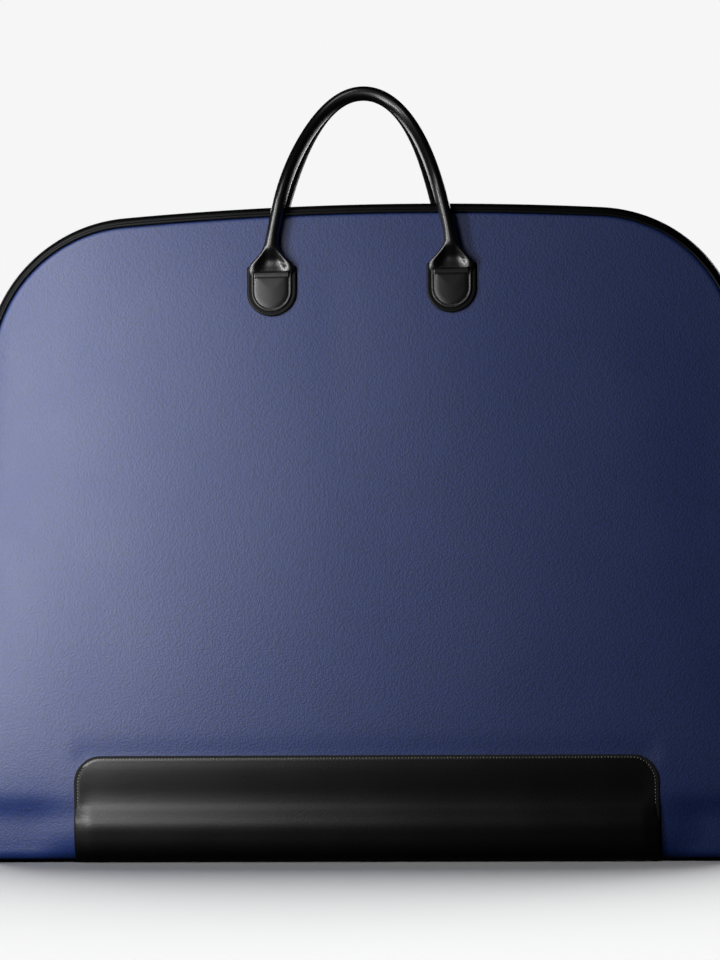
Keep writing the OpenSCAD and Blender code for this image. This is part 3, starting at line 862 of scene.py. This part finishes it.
TAB_LEAN = math.atan((face_y(TAB_X, TAB_MID - 0.015, 0) - face_y(TAB_X, TAB_MID + 0.015, 0))
                     / 0.030)
# the pivot lies in the middle of the tab: the backing's lift, the backing, a gap and half a tab
PIVOT_Y = float(face_y(TAB_X, TAB_TOP, 0)) + 0.0003 + 0.0015 + 0.0001 + 0.001
PIVOT_Z = TAB_TOP + 0.001
RISE = HANDLE_TOP - PIVOT_Z
FLARE_TOP = 0.0145
GRIP_SIDES, GRIP_STEPS = 40, 100


def on_face(x0, u, v, lift):
    """A point of the leaning plane that lies on the face behind a tab."""
    c, s = math.cos(TAB_LEAN), math.sin(TAB_LEAN)
    y = -np.asarray(lift)
    return np.stack(np.broadcast_arrays(x0 + u, y * c + v * s - float(face_y(TAB_X, TAB_MID, 0)),
                                        -y * s + v * c + TAB_MID), -1)


def grip_depth(h):
    lean = (PIVOT_Y + STAND_OFF - GRIP_R - GRIP_GAP) * smooth((h - LEAN_LOW) / (RISE - LEAN_LOW))
    return lean - STAND_OFF * smooth((h - 0.002) / 0.012)


def grip_line():
    """Centre line of the rolled grip, from its left foot over the top to its right foot."""
    hull = np.array([[0, RISE], [0.0333, RISE], [0.0572, RISE * 0.627], [TAB_X, FLARE_TOP]])
    t = np.linspace(1, 0, GRIP_STEPS // 2 + 1)[:, None]
    p = ((1 - t) ** 3 * hull[0] + 3 * (1 - t) ** 2 * t * hull[1]
         + 3 * (1 - t) * t * t * hull[2] + t ** 3 * hull[3])
    return mirrored(np.column_stack([-p[:, 0], grip_depth(p[:, 1]) - PIVOT_Y,
                                     p[:, 1] + PIVOT_Z]))


# the flare from its foot to the grip: height, half width, distance of its middle in front of the
# zip, half thickness, depth of the hollow between its two rolled edges
FLARE = np.array([
    [452.2, 15.6, 50.1, 1.0, 0.4],
    [454.0, 16.6, 50.5, 1.4, 1.2],
    [456.0, 17.2, 50.9, 2.0, 2.6],
    [458.6, 17.2, 51.1, 2.6, 4.0],
    [461.3, 15.9, 51.3, 3.1, 4.9],
    [464.7, 12.6, 51.5, 3.6, 4.6],
    [468.4, 9.3, 51.8, 4.1, 2.6],
    [472.0, 6.9, 52.2, 4.5, 0.7],
    [475.5, 5.5, 52.6, 4.7, 0.0]]) / 1000
SEAM_RIDGE = 0.0006
REAR_SWAY = 0.066


def rear_sway(grid):
    """Sideways sag of the rear grip, which hangs a few millimetres towards +X when turned round."""
    free = smooth((grid[..., 2] - 0.474) / 0.03)
    return np.stack([2 * REAR_SWAY * np.abs(grid[..., 1]) * free, 0 * free, 0 * free], -1)


def handle_grid():
    turn = np.linspace(0, 2 * math.pi, GRIP_SIDES, endpoint=False)
    u, front = np.cos(turn), np.sin(turn) > 0
    rings = []
    for z, wide, out, thick, hollow in through(FLARE, 34):
        edge = np.sign(np.sin(turn)) * np.abs(np.sin(turn)) ** 0.8
        sink = hollow * np.where(front, smooth((0.84 - np.abs(u)) / 0.5), 0)
        rings.append(np.column_stack([-TAB_X + wide * u, -(out + thick * edge - sink),
                                      np.full(GRIP_SIDES, z)]))
    line = grip_line()
    tangent = unit(np.gradient(line, axis=0))
    inner = unit(np.cross([0.0, 1.0, 0.0], tangent))
    outer = -np.cross(tangent, inner)
    s = along(line)
    fade = smooth(s / 0.03) * smooth((s[-1] - s) / 0.03)
    away = np.minimum(turn, 2 * math.pi - turn)
    middle = []
    for k in range(2, len(line) - 2):
        r = GRIP_R - 0.0001 + SEAM_RIDGE * fade[k] * np.exp(-(away / 0.2) ** 2)
        middle.append(line[k] + r[:, None] * (np.cos(turn)[:, None] * inner[k]
                                              + np.sin(turn)[:, None] * outer[k]))
    right = [ring * [-1, 1, 1] for ring in rings[::-1]]
    return np.array(rings + middle + right)


def handle_piece(name, angle):
    grid = handle_grid()
    if angle:
        grid = grid + rear_sway(grid)
    turn = np.linspace(0, 2 * math.pi * GRIP_R, GRIP_SIDES, endpoint=False)
    uv = np.stack([np.tile(turn, len(grid)), np.repeat(along(grid.mean(1)), GRIP_SIDES)], -1)
    return make_piece(name, turned(grid.reshape(-1, 3), angle),
                      tube_faces(len(grid), GRIP_SIDES, flip=True), GRIP, uv)


def tongue(r, top, low, inset):
    """Outline with a round lower end, as (u, v) round its middle, from its top left corner."""
    r, top, low_centre = r - inset, top - inset, r - low
    soft = 0.0012
    left = [(-r, v) for v in np.linspace(top - soft, low_centre, 12, endpoint=False)]
    turn = np.linspace(math.pi, 2 * math.pi, 40)
    foot = [(r * math.cos(t), low_centre + r * math.sin(t)) for t in turn]
    right = [(r, v) for v in np.linspace(low_centre, top - soft, 12)[1:]]
    corner = np.linspace(0, math.pi / 2, 4)[1:]
    upper_right = [(r - soft + soft * math.cos(t), top - soft + soft * math.sin(t)) for t in corner]
    across = [(u, top) for u in np.linspace(r - soft, soft - r, 28)[1:-1]]
    upper_left = [(-u, v) for u, v in upper_right[::-1]]
    return np.array(left + foot + right + upper_right + across + upper_left)


def plate_piece(name, x0, size, profile, material, angle, pinked=0.0):
    """A cut leather plate on the face, shaped by (inset, lift) pairs from its back edge inwards."""
    rings = []
    for inset, lift in profile:
        # an inset past the outline's radius would turn it inside out
        line = tongue(*size, min(inset, size[0] * 0.93))
        if pinked and inset < 0.0012:
            at_top = line[:, 1] > line[:, 1].max() - 0.0001
            line[at_top, 1] += pinked * (np.arange(at_top.sum()) % 2)
        rings.append(on_face(x0, line[:, 0], line[:, 1], lift))
    rings = np.array(rings)
    n, count = rings.shape[:2]
    points = np.vstack([rings.reshape(-1, 3), rings[[0, -1]].mean(1)])
    faces = [tuple(f) for f in grid_faces(n, count, wrap=True)]
    for k in range(count):
        faces.append((k, n * count, (k + 1) % count))
        faces.append(((n - 1) * count + (k + 1) % count, n * count + 1, (n - 1) * count + k))
    uv = np.column_stack([points[:, 0] - x0, points[:, 2]])
    insets = np.array([i for i, _ in profile])
    # the edge weights peak on the bevel; on the tab they carry its pale edge tone, edge wear and a
    # painted highlight
    edge = np.concatenate([np.repeat(np.exp(-((insets - 0.0005) / 0.0006) ** 2), count), [0, 0]])
    return make_piece(name, turned(points, angle), faces, material, uv, edge)


TAB_SIZE = (0.0155, 0.0140, 0.0168)
SHIELD_SIZE = (0.0192, 0.0182, 0.0205)
TAB_FORM = [(0.0, 0.0019), (0.0, 0.0030), (0.00025, 0.0037), (0.0007, 0.0041), (0.0012, 0.0041),
            (0.0016, 0.0038), (0.0021, 0.0036), (0.0026, 0.0038), (0.0036, 0.0041),
            (0.0060, 0.0043), (0.0100, 0.0045), (0.0140, 0.0046)]
SHIELD_FORM = [(0.0, 0.0003), (0.0, 0.0011), (0.0004, 0.0016), (0.0011, 0.0018), (0.0018, 0.0018),
               (0.0030, 0.0017), (0.0080, 0.0017), (0.0170, 0.0017)]
TAB_STITCH_IN = 0.0021
TAB_SIDES_AND_FOOT = 63     # the tab's stitches leave its upper edge free
COLLAR_HALF, TEETH = 0.0138, 12


def collar_piece(name, x0, angle):
    """The strip under the flare, whose lower edge is cut into teeth over the tab."""
    count = 2 * TEETH + 1
    u = np.linspace(-COLLAR_HALF, COLLAR_HALF, count)
    low = np.where(np.arange(count) % 2, 0.0084, 0.0104)
    rows = [(low, 0.0043), (low, 0.0051), (low + 0.0003, 0.0053), (np.full(count, 0.0140), 0.0053),
            (np.full(count, 0.0140), 0.0043)]
    grid = np.array([on_face(x0, u, v, lift) for v, lift in rows])
    uv = np.stack([grid[..., 0] - x0, grid[..., 2]], -1).reshape(-1, 2)
    last = (len(rows) - 1) * count
    side = range(0, last + 1, count)
    faces = [tuple(f) for f in grid_faces(len(rows), count)]
    faces += [(last + k, last + k + 1, k + 1, k) for k in range(count - 1)]
    faces += [tuple(side), tuple(v + count - 1 for v in side[::-1])]
    return make_piece(name, turned(grid.reshape(-1, 3), angle), faces, GRIP, uv)


def tab_stitches(name, x0, angle):
    line = tongue(*TAB_SIZE, TAB_STITCH_IN)[:TAB_SIDES_AND_FOOT]
    at = on_face(x0, line[:, 0], line[:, 1], 0.0037)
    normal = (0.0, -math.cos(TAB_LEAN), math.sin(TAB_LEAN))
    return stitch_piece(name, at, normal, 0.0026, 0.0019, 0.00024, DARK_THREAD, angle)


def cross_stitches(name, x0, angle):
    """Slanted stitches over the tab's upper edge, under the flare."""
    u = np.linspace(-0.0135, 0.0135, 20)
    at = on_face(x0, u, 0.0135, 0.0043)
    return stitch_piece(name, at, (0.0, -1.0, 0.15), 0.0019, 0.0026, 0.00026, DARK_THREAD, angle,
                        slant=math.radians(62))


# ---- Inside of a half ----

LINING_IN, LINING_T, LINING_BEHIND = 0.0121, 0.0006, 0.0034


def lining_grid():
    turn = np.linspace(0, math.pi / 2, 9)
    bend = 0.012
    low = [(y, 0.0066) for y in np.linspace(0.0003, LINING_Y - bend, 8, endpoint=False)]
    low += [(LINING_Y - bend + bend * math.sin(t), 0.0066 + bend * (1 - math.cos(t))) for t in turn]
    arc_turn = np.linspace(0.12, math.pi - MEET, 16, endpoint=False)
    arc = CORNER_X + (CORNER_R - LINING_IN) * np.cos(arc_turn)
    x = both_ways(np.concatenate([arc, np.linspace(CORNER_X + 0.006, 0, 26)]))
    columns = []
    for xi, top in zip(x, top_at(x, LINING_IN)):
        z = np.concatenate([np.linspace(0.022, 0.09, 8), np.linspace(0.1, top, 34)])
        calm = smooth((z - 0.05) / 0.05) * smooth((top - z) / 0.03)
        loose = 0.0004 * calm * (np.sin(23 * xi + 9 * z) + 0.6 * np.sin(31 * z - 12 * xi))
        yz = np.vstack([low, np.column_stack([LINING_Y - 0.0006 + loose, z])])
        yz[:, 0] = np.minimum(yz[:, 0], section_y(yz[:, 1], 0) - LINING_BEHIND)
        columns.append(upright(xi, yz))
    return np.stack(columns, 1)


def lining_piece(side, angle):
    grid = lining_grid()
    piece = sheet_piece(side + "_lining_cloth", grid, LINING_T, LINING, angle, facing="in")
    fold_with(piece)
    fitted(piece, (side + "_lining", "fold_base_lining"))


STRAP_HALF, STRAP_T, STRAP_Y = 0.0125, 0.0012, 0.0062


def strap_line():
    """From the left wall round to the straight run across the tray and on to the right wall."""
    wall, bend = 0.2868, 0.004
    turn = np.linspace(0, math.pi / 2, 6)
    left = [(-wall, y) for y in np.linspace(0.024, STRAP_Y + bend, 6, endpoint=False)]
    left += [(-wall + bend * (1 - math.cos(t)), STRAP_Y + bend * (1 - math.sin(t))) for t in turn]
    run = [(x, STRAP_Y + 0.0004 * math.sin(26 * x)) for x in np.linspace(-wall + bend, 0, 30)[1:]]
    return mirrored(np.array(left + run))


def strap_piece(side, index, z, angle):
    line = strap_line()
    across = np.linspace(-1, 1, 9)
    crown = 0.0003 * (1 - across ** 2)
    tight = 1 - 0.03 * smooth((0.25 - np.abs(line[:, 0])) / 0.2)
    grid = np.stack([np.column_stack([line[:, 0], -line[:, 1] + c * 0.5,
                                      z + STRAP_HALF * a * tight])
                     for a, c in zip(across, crown)], 1)
    name = f"{side}_strap_{index}"
    piece = sheet_piece(name, grid, STRAP_T, WEBBING, angle, inside=(0, -0.0385, z), facing="in")
    fitted(piece, (side + "_garment_straps",), side + "_half")
    for end, sign in (("left", -1), ("right", 1)):
        for k, depth in enumerate((0.012, 0.021)):
            v = np.linspace(z - 0.0105, z + 0.0105, 8)
            at = np.column_stack([np.full(8, sign * 0.2855), np.full(8, -depth), v])
            row = stitch_piece(f"{name}_{end}_stitches_{k}", at, (-float(sign), 0.0, 0.0), 0.0022,
                               0.0017, 0.00022, DARK_THREAD, angle)
            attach(row, side + "_half")


POCKET_HALF, POCKET_LOW, POCKET_TOP = 0.190, 0.070, 0.220


def pocket_y(x, z):
    """Depth of the pocket's face, which stands off the lining towards its open top."""
    up = smooth((z - POCKET_LOW) / (POCKET_TOP - POCKET_LOW))
    across = np.maximum(0, 1 - (np.abs(x) / POCKET_HALF) ** 2)
    return 0.0372 - 0.0022 * up * across - 0.0003 * up * np.sin(40 * x)


def pocket_pieces():
    x = np.linspace(-POCKET_HALF, POCKET_HALF, 60)
    z = np.linspace(POCKET_LOW, POCKET_TOP + 0.006, 26)
    grid = np.stack([np.column_stack([np.full(len(z), xi), -pocket_y(xi, z), z]) for xi in x], 1)
    cloth = sheet_piece("front_pocket_cloth", grid, 0.0007, LINING, facing="in")
    fitted(cloth, ("front_pocket",), "front_half")
    turn = np.linspace(0, math.pi, 9)
    r = 0.0009
    rows = ([(r, 0.2202)] + [(r * math.cos(t), 0.2312 + r * math.sin(t)) for t in turn]
            + [(-r, 0.2202)])
    grid = np.stack([np.column_stack([x, -pocket_y(x, POCKET_TOP) - 0.0002 + out,
                                      np.full(len(x), zz)]) for out, zz in rows], 0)
    binding = sheet_piece("front_pocket_edge", grid, 0.0004, BINDING, inside=(0, -0.037, 0.2255),
                          facing="out")
    fitted(binding, ("front_pocket_binding",), "front_half")
    side = POCKET_HALF - 0.003
    u_line = ([(-side, v) for v in np.linspace(POCKET_TOP, POCKET_LOW + 0.003, 16)]
              + [(u, POCKET_LOW + 0.003) for u in np.linspace(-side, side, 40)[1:-1]]
              + [(side, v) for v in np.linspace(POCKET_LOW + 0.003, POCKET_TOP, 16)])
    top_line = [(u, POCKET_TOP + 0.003) for u in np.linspace(-side, side, 50)]
    for name, line, lift in (("front_pocket_seam", u_line, 0.0),
                             ("front_pocket_edge_seam", top_line, 0.0012)):
        u, v = np.array(line).T
        at = np.column_stack([u, -pocket_y(u, np.minimum(v, POCKET_TOP)) + lift, v])
        row = stitch_piece(name, at, (0.0, 1.0, 0.0), 0.003, 0.0023, 0.00022, DARK_THREAD)
        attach(row, "front_half")


def crease_roll_piece():
    """Padded roll that keeps a folded suit from creasing, gathered in at both ends."""
    length = EAR_X - 0.0018
    x = np.concatenate([np.linspace(-length, -length + 0.012, 8, endpoint=False),
                        np.linspace(-length + 0.012, length - 0.012, 70),
                        np.linspace(length - 0.012, length, 9)[1:]])
    sides = 40
    turn = np.linspace(0, 2 * math.pi, sides, endpoint=False)
    centre_z = (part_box("crease_roll_cover")[0].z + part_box("crease_roll_cover")[1].z) / 2
    near_end = np.clip((length - np.abs(x)) / 0.012, 0, 1)
    rings = []
    for xi, e in zip(x, near_end):
        pull = (1 - e) ** 2
        gathers = 0.0005 * pull * np.sin(10 * turn)
        soft = (0.00025 * e * np.sin(33 * xi + 1.5 * np.cos(turn))
                + 0.0002 * e * np.sin(3 * turn + 9 * xi))
        seam = -0.0006 * np.exp(-((turn - math.pi / 2) / 0.10) ** 2)
        r = CREASE_ROLL_R - 0.0004 - 0.0012 * pull + gathers + soft + seam
        rings.append(np.column_stack([np.full(sides, xi), r * np.cos(turn),
                                      centre_z + r * np.sin(turn)]))
    grid = np.array(rings)
    uv = np.stack([np.tile(turn * CREASE_ROLL_R, len(grid)), np.repeat(x, sides)], -1)
    piece = make_piece("crease_roll_padding", grid.reshape(-1, 3),
                       tube_faces(len(grid), sides, flip=True), LINING, uv)
    fitted(piece, ("crease_roll_cover", "crease_roll_core"), "base")


# ---- Hook ----

def hook_pieces():
    low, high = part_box("hanging_hook")
    wire = 0.002
    centre_x, y = (low.x + high.x) / 2, (low.y + high.y) / 2
    crook = (high.x - low.x) / 2 - wire
    centre_z = high.z - wire - crook
    turn = np.radians(np.linspace(-15, 232, 48))
    arc = np.column_stack([crook * np.cos(turn), crook * np.sin(turn)])
    t = np.linspace(0, 1, 12)[1:, None]
    start, end = arc[-1], np.array([0, -1.55 * crook])
    leave = 1.0 * crook * np.array([-math.sin(turn[-1]), math.cos(turn[-1])])
    arrive = np.array([0, -0.6 * crook])
    h = ((2 * t ** 3 - 3 * t ** 2 + 1) * start + (t ** 3 - 2 * t ** 2 + t) * leave
         + (3 * t ** 2 - 2 * t ** 3) * end + (t ** 3 - t ** 2) * arrive)
    bar_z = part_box("hanger_bar")[0].z + 0.0036
    stem = np.column_stack([np.zeros(16), np.linspace(end[1], bar_z - centre_z, 17)[1:]])
    u, v = np.vstack([arc, h, stem]).T
    path = np.column_stack([centre_x + u, np.full(len(u), y), centre_z + v])
    hook = tube_piece("hanging_hook_wire", path, wire, STEEL, sides=20, lean=False)
    fitted(hook, ("hanging_hook",), "hook")
    tip_path = np.column_stack([centre_x + arc[:8, 0], np.full(8, y), centre_z + arc[:8, 1]])
    tip = tube_piece("hanging_hook_tip", tip_path, wire + 0.0003, PLASTIC, sides=20, lean=False)
    fitted(tip, body="hook")


# ---- Carried-over CAD nodes ----

def finish_node(name, material, bevel=0.0):
    """Gives a CAD node its material, and softens its edges where they are cut or cast."""
    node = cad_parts[name]
    node.data.materials.clear()
    node.data.materials.append(material)
    if bevel:
        weld = node.modifiers.new("Weld", "WELD")
        weld.merge_threshold = 0.00001
        soft = node.modifiers.new("Bevel", "BEVEL")
        soft.width, soft.segments, soft.angle_limit = bevel, 3, math.radians(40)
        soft.harden_normals = False


CAD_FINISHES = (
    (TRIM_CAD, 0.0004, ("fold_side_ears", "crease_roll_ends")),
    (BOARD, 0.0, ("fold_base_board", "front_board", "rear_board")),
    (STEEL, 0.0, ("front_anchor_plates", "rear_anchor_plates", "hanger_bar", "hook_guide_screws")),
    (STEEL, 0.0003, ("hook_slot_rim",)),
    (PLASTIC, 0.0006, ("hook_guide",)),
    (ZIP_METAL, 0.0003, ("zip_slider", "zip_pull_link", "front_zip_stops", "rear_zip_stops")),
    (TRIM_CAD, 0.0004, ("zip_pull_leather",)),
)


# ---- Assembly ----

HOOK_SLOT_LOW, HOOK_SLOT_HIGH = (-0.0243, 0.0227, 0.485), (0.0243, 0.0293, 0.520)


def cut_hook_slot(band):
    """The opening under the hook's slot rim."""
    corners = [(x, y, z) for z in (HOOK_SLOT_LOW[2], HOOK_SLOT_HIGH[2])
               for y in (HOOK_SLOT_LOW[1], HOOK_SLOT_HIGH[1])
               for x in (HOOK_SLOT_LOW[0], HOOK_SLOT_HIGH[0])]
    faces = [(0, 2, 3, 1), (4, 5, 7, 6), (0, 1, 5, 4), (2, 6, 7, 3), (0, 4, 6, 2), (1, 3, 7, 5)]
    cutter = make_piece("hook_slot_cutter", corners, faces, TRIM, lean=False)
    cut = band.modifiers.new("slot", "BOOLEAN")
    cut.operation, cut.solver, cut.object = "DIFFERENCE", "EXACT", cutter
    bpy.context.view_layer.update()
    opened = bpy.data.meshes.new_from_object(
        band.evaluated_get(bpy.context.evaluated_depsgraph_get()))
    band.modifiers.clear()
    band.data = opened
    bpy.data.objects.remove(cutter)


def shell_pieces(side, angle, face):
    skin = sheet_piece(side + "_shell", face, SKIN_T, SHELL, angle)
    fold_with(skin)
    fitted(skin, (side + "_panel", side + "_foam", "fold_base_cover"))

    band = rim_sheet(side + "_gusset_band", GUSSET_PROFILE, 0.0011, TRIM, angle, True)
    if side == "rear":
        cut_hook_slot(band)
    fold_with(band)
    fitted(band, (side + "_gusset", "fold_base_ends"))

    cord = tube_piece(side + "_piping_bead", rim_line(0.0067, HALF_T, True), 0.00135, TRIM, angle,
                      sides=12)
    fold_with(cord)
    fitted(cord, (side + "_piping",))

    grid = guard_grid()
    guard = sheet_piece(side + "_guard", grid, 0.0015, GUARD, angle, edge_tone=guard_rim(grid))
    fold_with(guard)
    fitted(guard, (side + "_fold_guard", "fold_guard_base"))
    sewn = stitch_piece(side + "_guard_stitches", guard_stitch_line(), (0.0, -1.0, 0.0), 0.0025,
                        0.0012, 0.00036, THREAD, angle)
    fitted(sewn, body=side + "_half")

    wall = rim_sheet(side + "_lining_wall", WALL_PROFILE, 0.0006, LINING, angle, True, "in")
    fold_with(wall)


def zip_pieces(side, angle, shift):
    tape = rim_sheet(side + "_zip_tape_cloth", TAPE_PROFILE, 0.0007, TAPE, angle, False)
    fitted(tape, (side + "_zip_tape",), side + "_half")
    teeth = zip_teeth(side + "_teeth", angle, shift)
    fitted(teeth, (side + "_zip_teeth",), side + "_half")
    outwards = unit((rim_line(0.0047, 0.0128) - MID_BODY) * [1, 0, 1])
    row = stitch_piece(side + "_zip_stitches", rim_line(0.0043, 0.0142), outwards, 0.0034, 0.0026,
                       0.00024, DARK_THREAD, angle)
    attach(row, side + "_half")


def handle_pieces(side, angle):
    grip = handle_piece(side + "_grip", angle)
    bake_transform(grip)
    fitted(grip, (side + "_handle_cover", side + "_handle_core"))
    # the rear half is the front one turned round, so its left tab is drawn on the right
    hands = (("left", -1), ("right", 1)) if side == "front" else (("right", -1), ("left", 1))
    for hand, sign in hands:
        x0 = sign * TAB_X
        shield = plate_piece(f"{side}_shield_{hand}", x0, SHIELD_SIZE, SHIELD_FORM, TRIM, angle)
        tab = plate_piece(f"{side}_tab_{hand}", x0, TAB_SIZE, TAB_FORM, PATCH, angle,
                          pinked=0.0016)
        for piece, nodes in (
                (shield, (side + "_tab_backings",)),
                (tab, (f"{side}_handle_tab_{hand}",)),
                (collar_piece(f"{side}_tab_collar_{hand}", x0, angle), ()),
                (tab_stitches(f"{side}_tab_stitches_{hand}", x0, angle), ()),
                (cross_stitches(f"{side}_tab_cross_stitches_{hand}", x0, angle), ())):
            fitted(piece, nodes, side + "_half")


face = shell_grid()
for turn_index, (half, half_angle) in enumerate(SIDES):
    shell_pieces(half, half_angle, face)
    zip_pieces(half, half_angle, 0.5 * turn_index)
    handle_pieces(half, half_angle)
    lining_piece(half, half_angle)
    for strap_index, strap_z in enumerate((0.200, 0.330)):
        strap_piece(half, strap_index, strap_z, half_angle)
pocket_pieces()
crease_roll_piece()
hook_pieces()
for finish_material, finish_bevel, finish_names in CAD_FINISHES:
    for node_name in finish_names:
        finish_node(node_name, finish_material, finish_bevel)


# ---- Floor, light and camera ----

def pale_floor():
    mesh = bpy.data.meshes.new("floor")
    size = 6.0
    mesh.from_pydata([(-size, -size, 0), (size, -size, 0), (size, size, 0), (-size, size, 0)], [],
                     [(0, 1, 2, 3)])
    p = Paint("pale_floor", (0.9, 0.9, 0.9), 0.9, specular=0.0, coords="Object")
    p.shade(p.spread(p.noise(0.4, 2), 0.3, 0.7, 0.995, 1.005))
    mesh.materials.append(p.material)
    floor = bpy.data.objects.new("floor", mesh)
    scene.collection.objects.link(floor)
    floor.location.z = -0.0003
    # its own white doesn't light the bag from below
    floor.visible_diffuse = floor.visible_glossy = False
    return floor


def linked_to(name, thing, state):
    group = bpy.data.collections.new(name)
    group.objects.link(thing)
    group.collection_objects[0].light_linking.link_state = state
    return group


def area_light(name, at, towards, size, power, receivers):
    data = bpy.data.lights.new(name, "AREA")
    data.shape, data.size, data.size_y, data.energy = "RECTANGLE", *size, power
    data.spread = math.pi
    light = bpy.data.objects.new(name, data)
    scene.collection.objects.link(light)
    light.location = at
    light.rotation_euler = (Vector(towards) - Vector(at)).to_track_quat("-Z", "Y").to_euler()
    light.visible_camera = False
    light.light_linking.receiver_collection = receivers


def white_world(seen, ambient):
    """Near-white where the camera looks past the bag, and dim for everything else."""
    world = bpy.data.worlds.new("studio")
    world.use_nodes = True
    scene.world = world
    tree = world.node_tree
    back = tree.nodes["Background"]
    back.inputs["Color"].default_value = (*[ambient] * 3, 1)
    bright = tree.nodes.new("ShaderNodeBackground")
    bright.inputs["Color"].default_value = (*[seen] * 3, 1)
    choose = tree.nodes.new("ShaderNodeMixShader")
    path = tree.nodes.new("ShaderNodeLightPath")
    tree.links.new(path.outputs["Is Camera Ray"], choose.inputs["Fac"])
    tree.links.new(back.outputs[0], choose.inputs[1])
    tree.links.new(bright.outputs[0], choose.inputs[2])
    tree.links.new(choose.outputs[0], tree.nodes["World Output"].inputs["Surface"])


scene.view_settings.view_transform = "Standard"
floor_piece = pale_floor()
on_floor = linked_to("lit_floor", floor_piece, "INCLUDE")
on_bag = linked_to("lit_bag", floor_piece, "EXCLUDE")
white_world(seen=0.921, ambient=0.004)

MIDDLE = (0, 0, 0.26)
# name, place, aim, size, power, receivers
LIGHTS = (
    ("key_side", (-0.95, -0.16, 0.28), (-0.1, -0.05, 0.27), (0.2, 0.8), 0.45, on_bag),
    ("key_near", (-0.40, -0.45, 0.40), (-0.3, -0.05, 0.32), (0.12, 0.74), 3.1, on_bag),
    ("key_front", (-0.35, -0.90, 0.40), (-0.3, -0.05, 0.32), (0.3, 0.74), 2.3, on_bag),
    ("key_low", (-0.60, -0.40, 0.13), (-0.2, 0, 0.15), (0.4, 0.1), 1.2, on_bag),
    ("key_high", (-0.40, -0.80, 1.25), (0, -0.03, 0.52), (0.25, 0.5), 1.6, on_bag),
    ("rear_key", (0.9, 1.3, 0.5), (0, 0.05, 0.2), (0.7, 0.9), 12, on_bag),
    ("rear_soft", (-1.1, 1.5, 0.6), MIDDLE, (0.8, 0.9), 8, on_bag),
    ("floor_back", (0, 2.6, 4.5), (0, -0.4, 0), (5.0, 4.8), 420, on_floor),
    ("floor_front", (0, -2.2, 2.2), (0, -0.5, 0), (2.4, 1.4), 20, on_floor),
)
for light_args in LIGHTS:
    area_light(*light_args)

# the photo is taken slightly from the right, near mid height
CAMERA_AT, CAMERA_LENS = (0.198, -3.0, 0.209), 144.53
CAMERA_YAW, CAMERA_PITCH, CAMERA_ROLL = np.radians([3.88, 1.633, -0.387])
camera_data = bpy.data.cameras.new("camera")
camera_data.lens, camera_data.sensor_width = CAMERA_LENS, 36
camera = bpy.data.objects.new("camera", camera_data)
scene.collection.objects.link(camera)
camera.matrix_world = (Matrix.Translation(CAMERA_AT) @ Matrix.Rotation(CAMERA_YAW, 4, "Z")
                       @ Matrix.Rotation(math.pi / 2 + CAMERA_PITCH, 4, "X")
                       @ Matrix.Rotation(CAMERA_ROLL, 4, "Z"))
scene.camera = camera
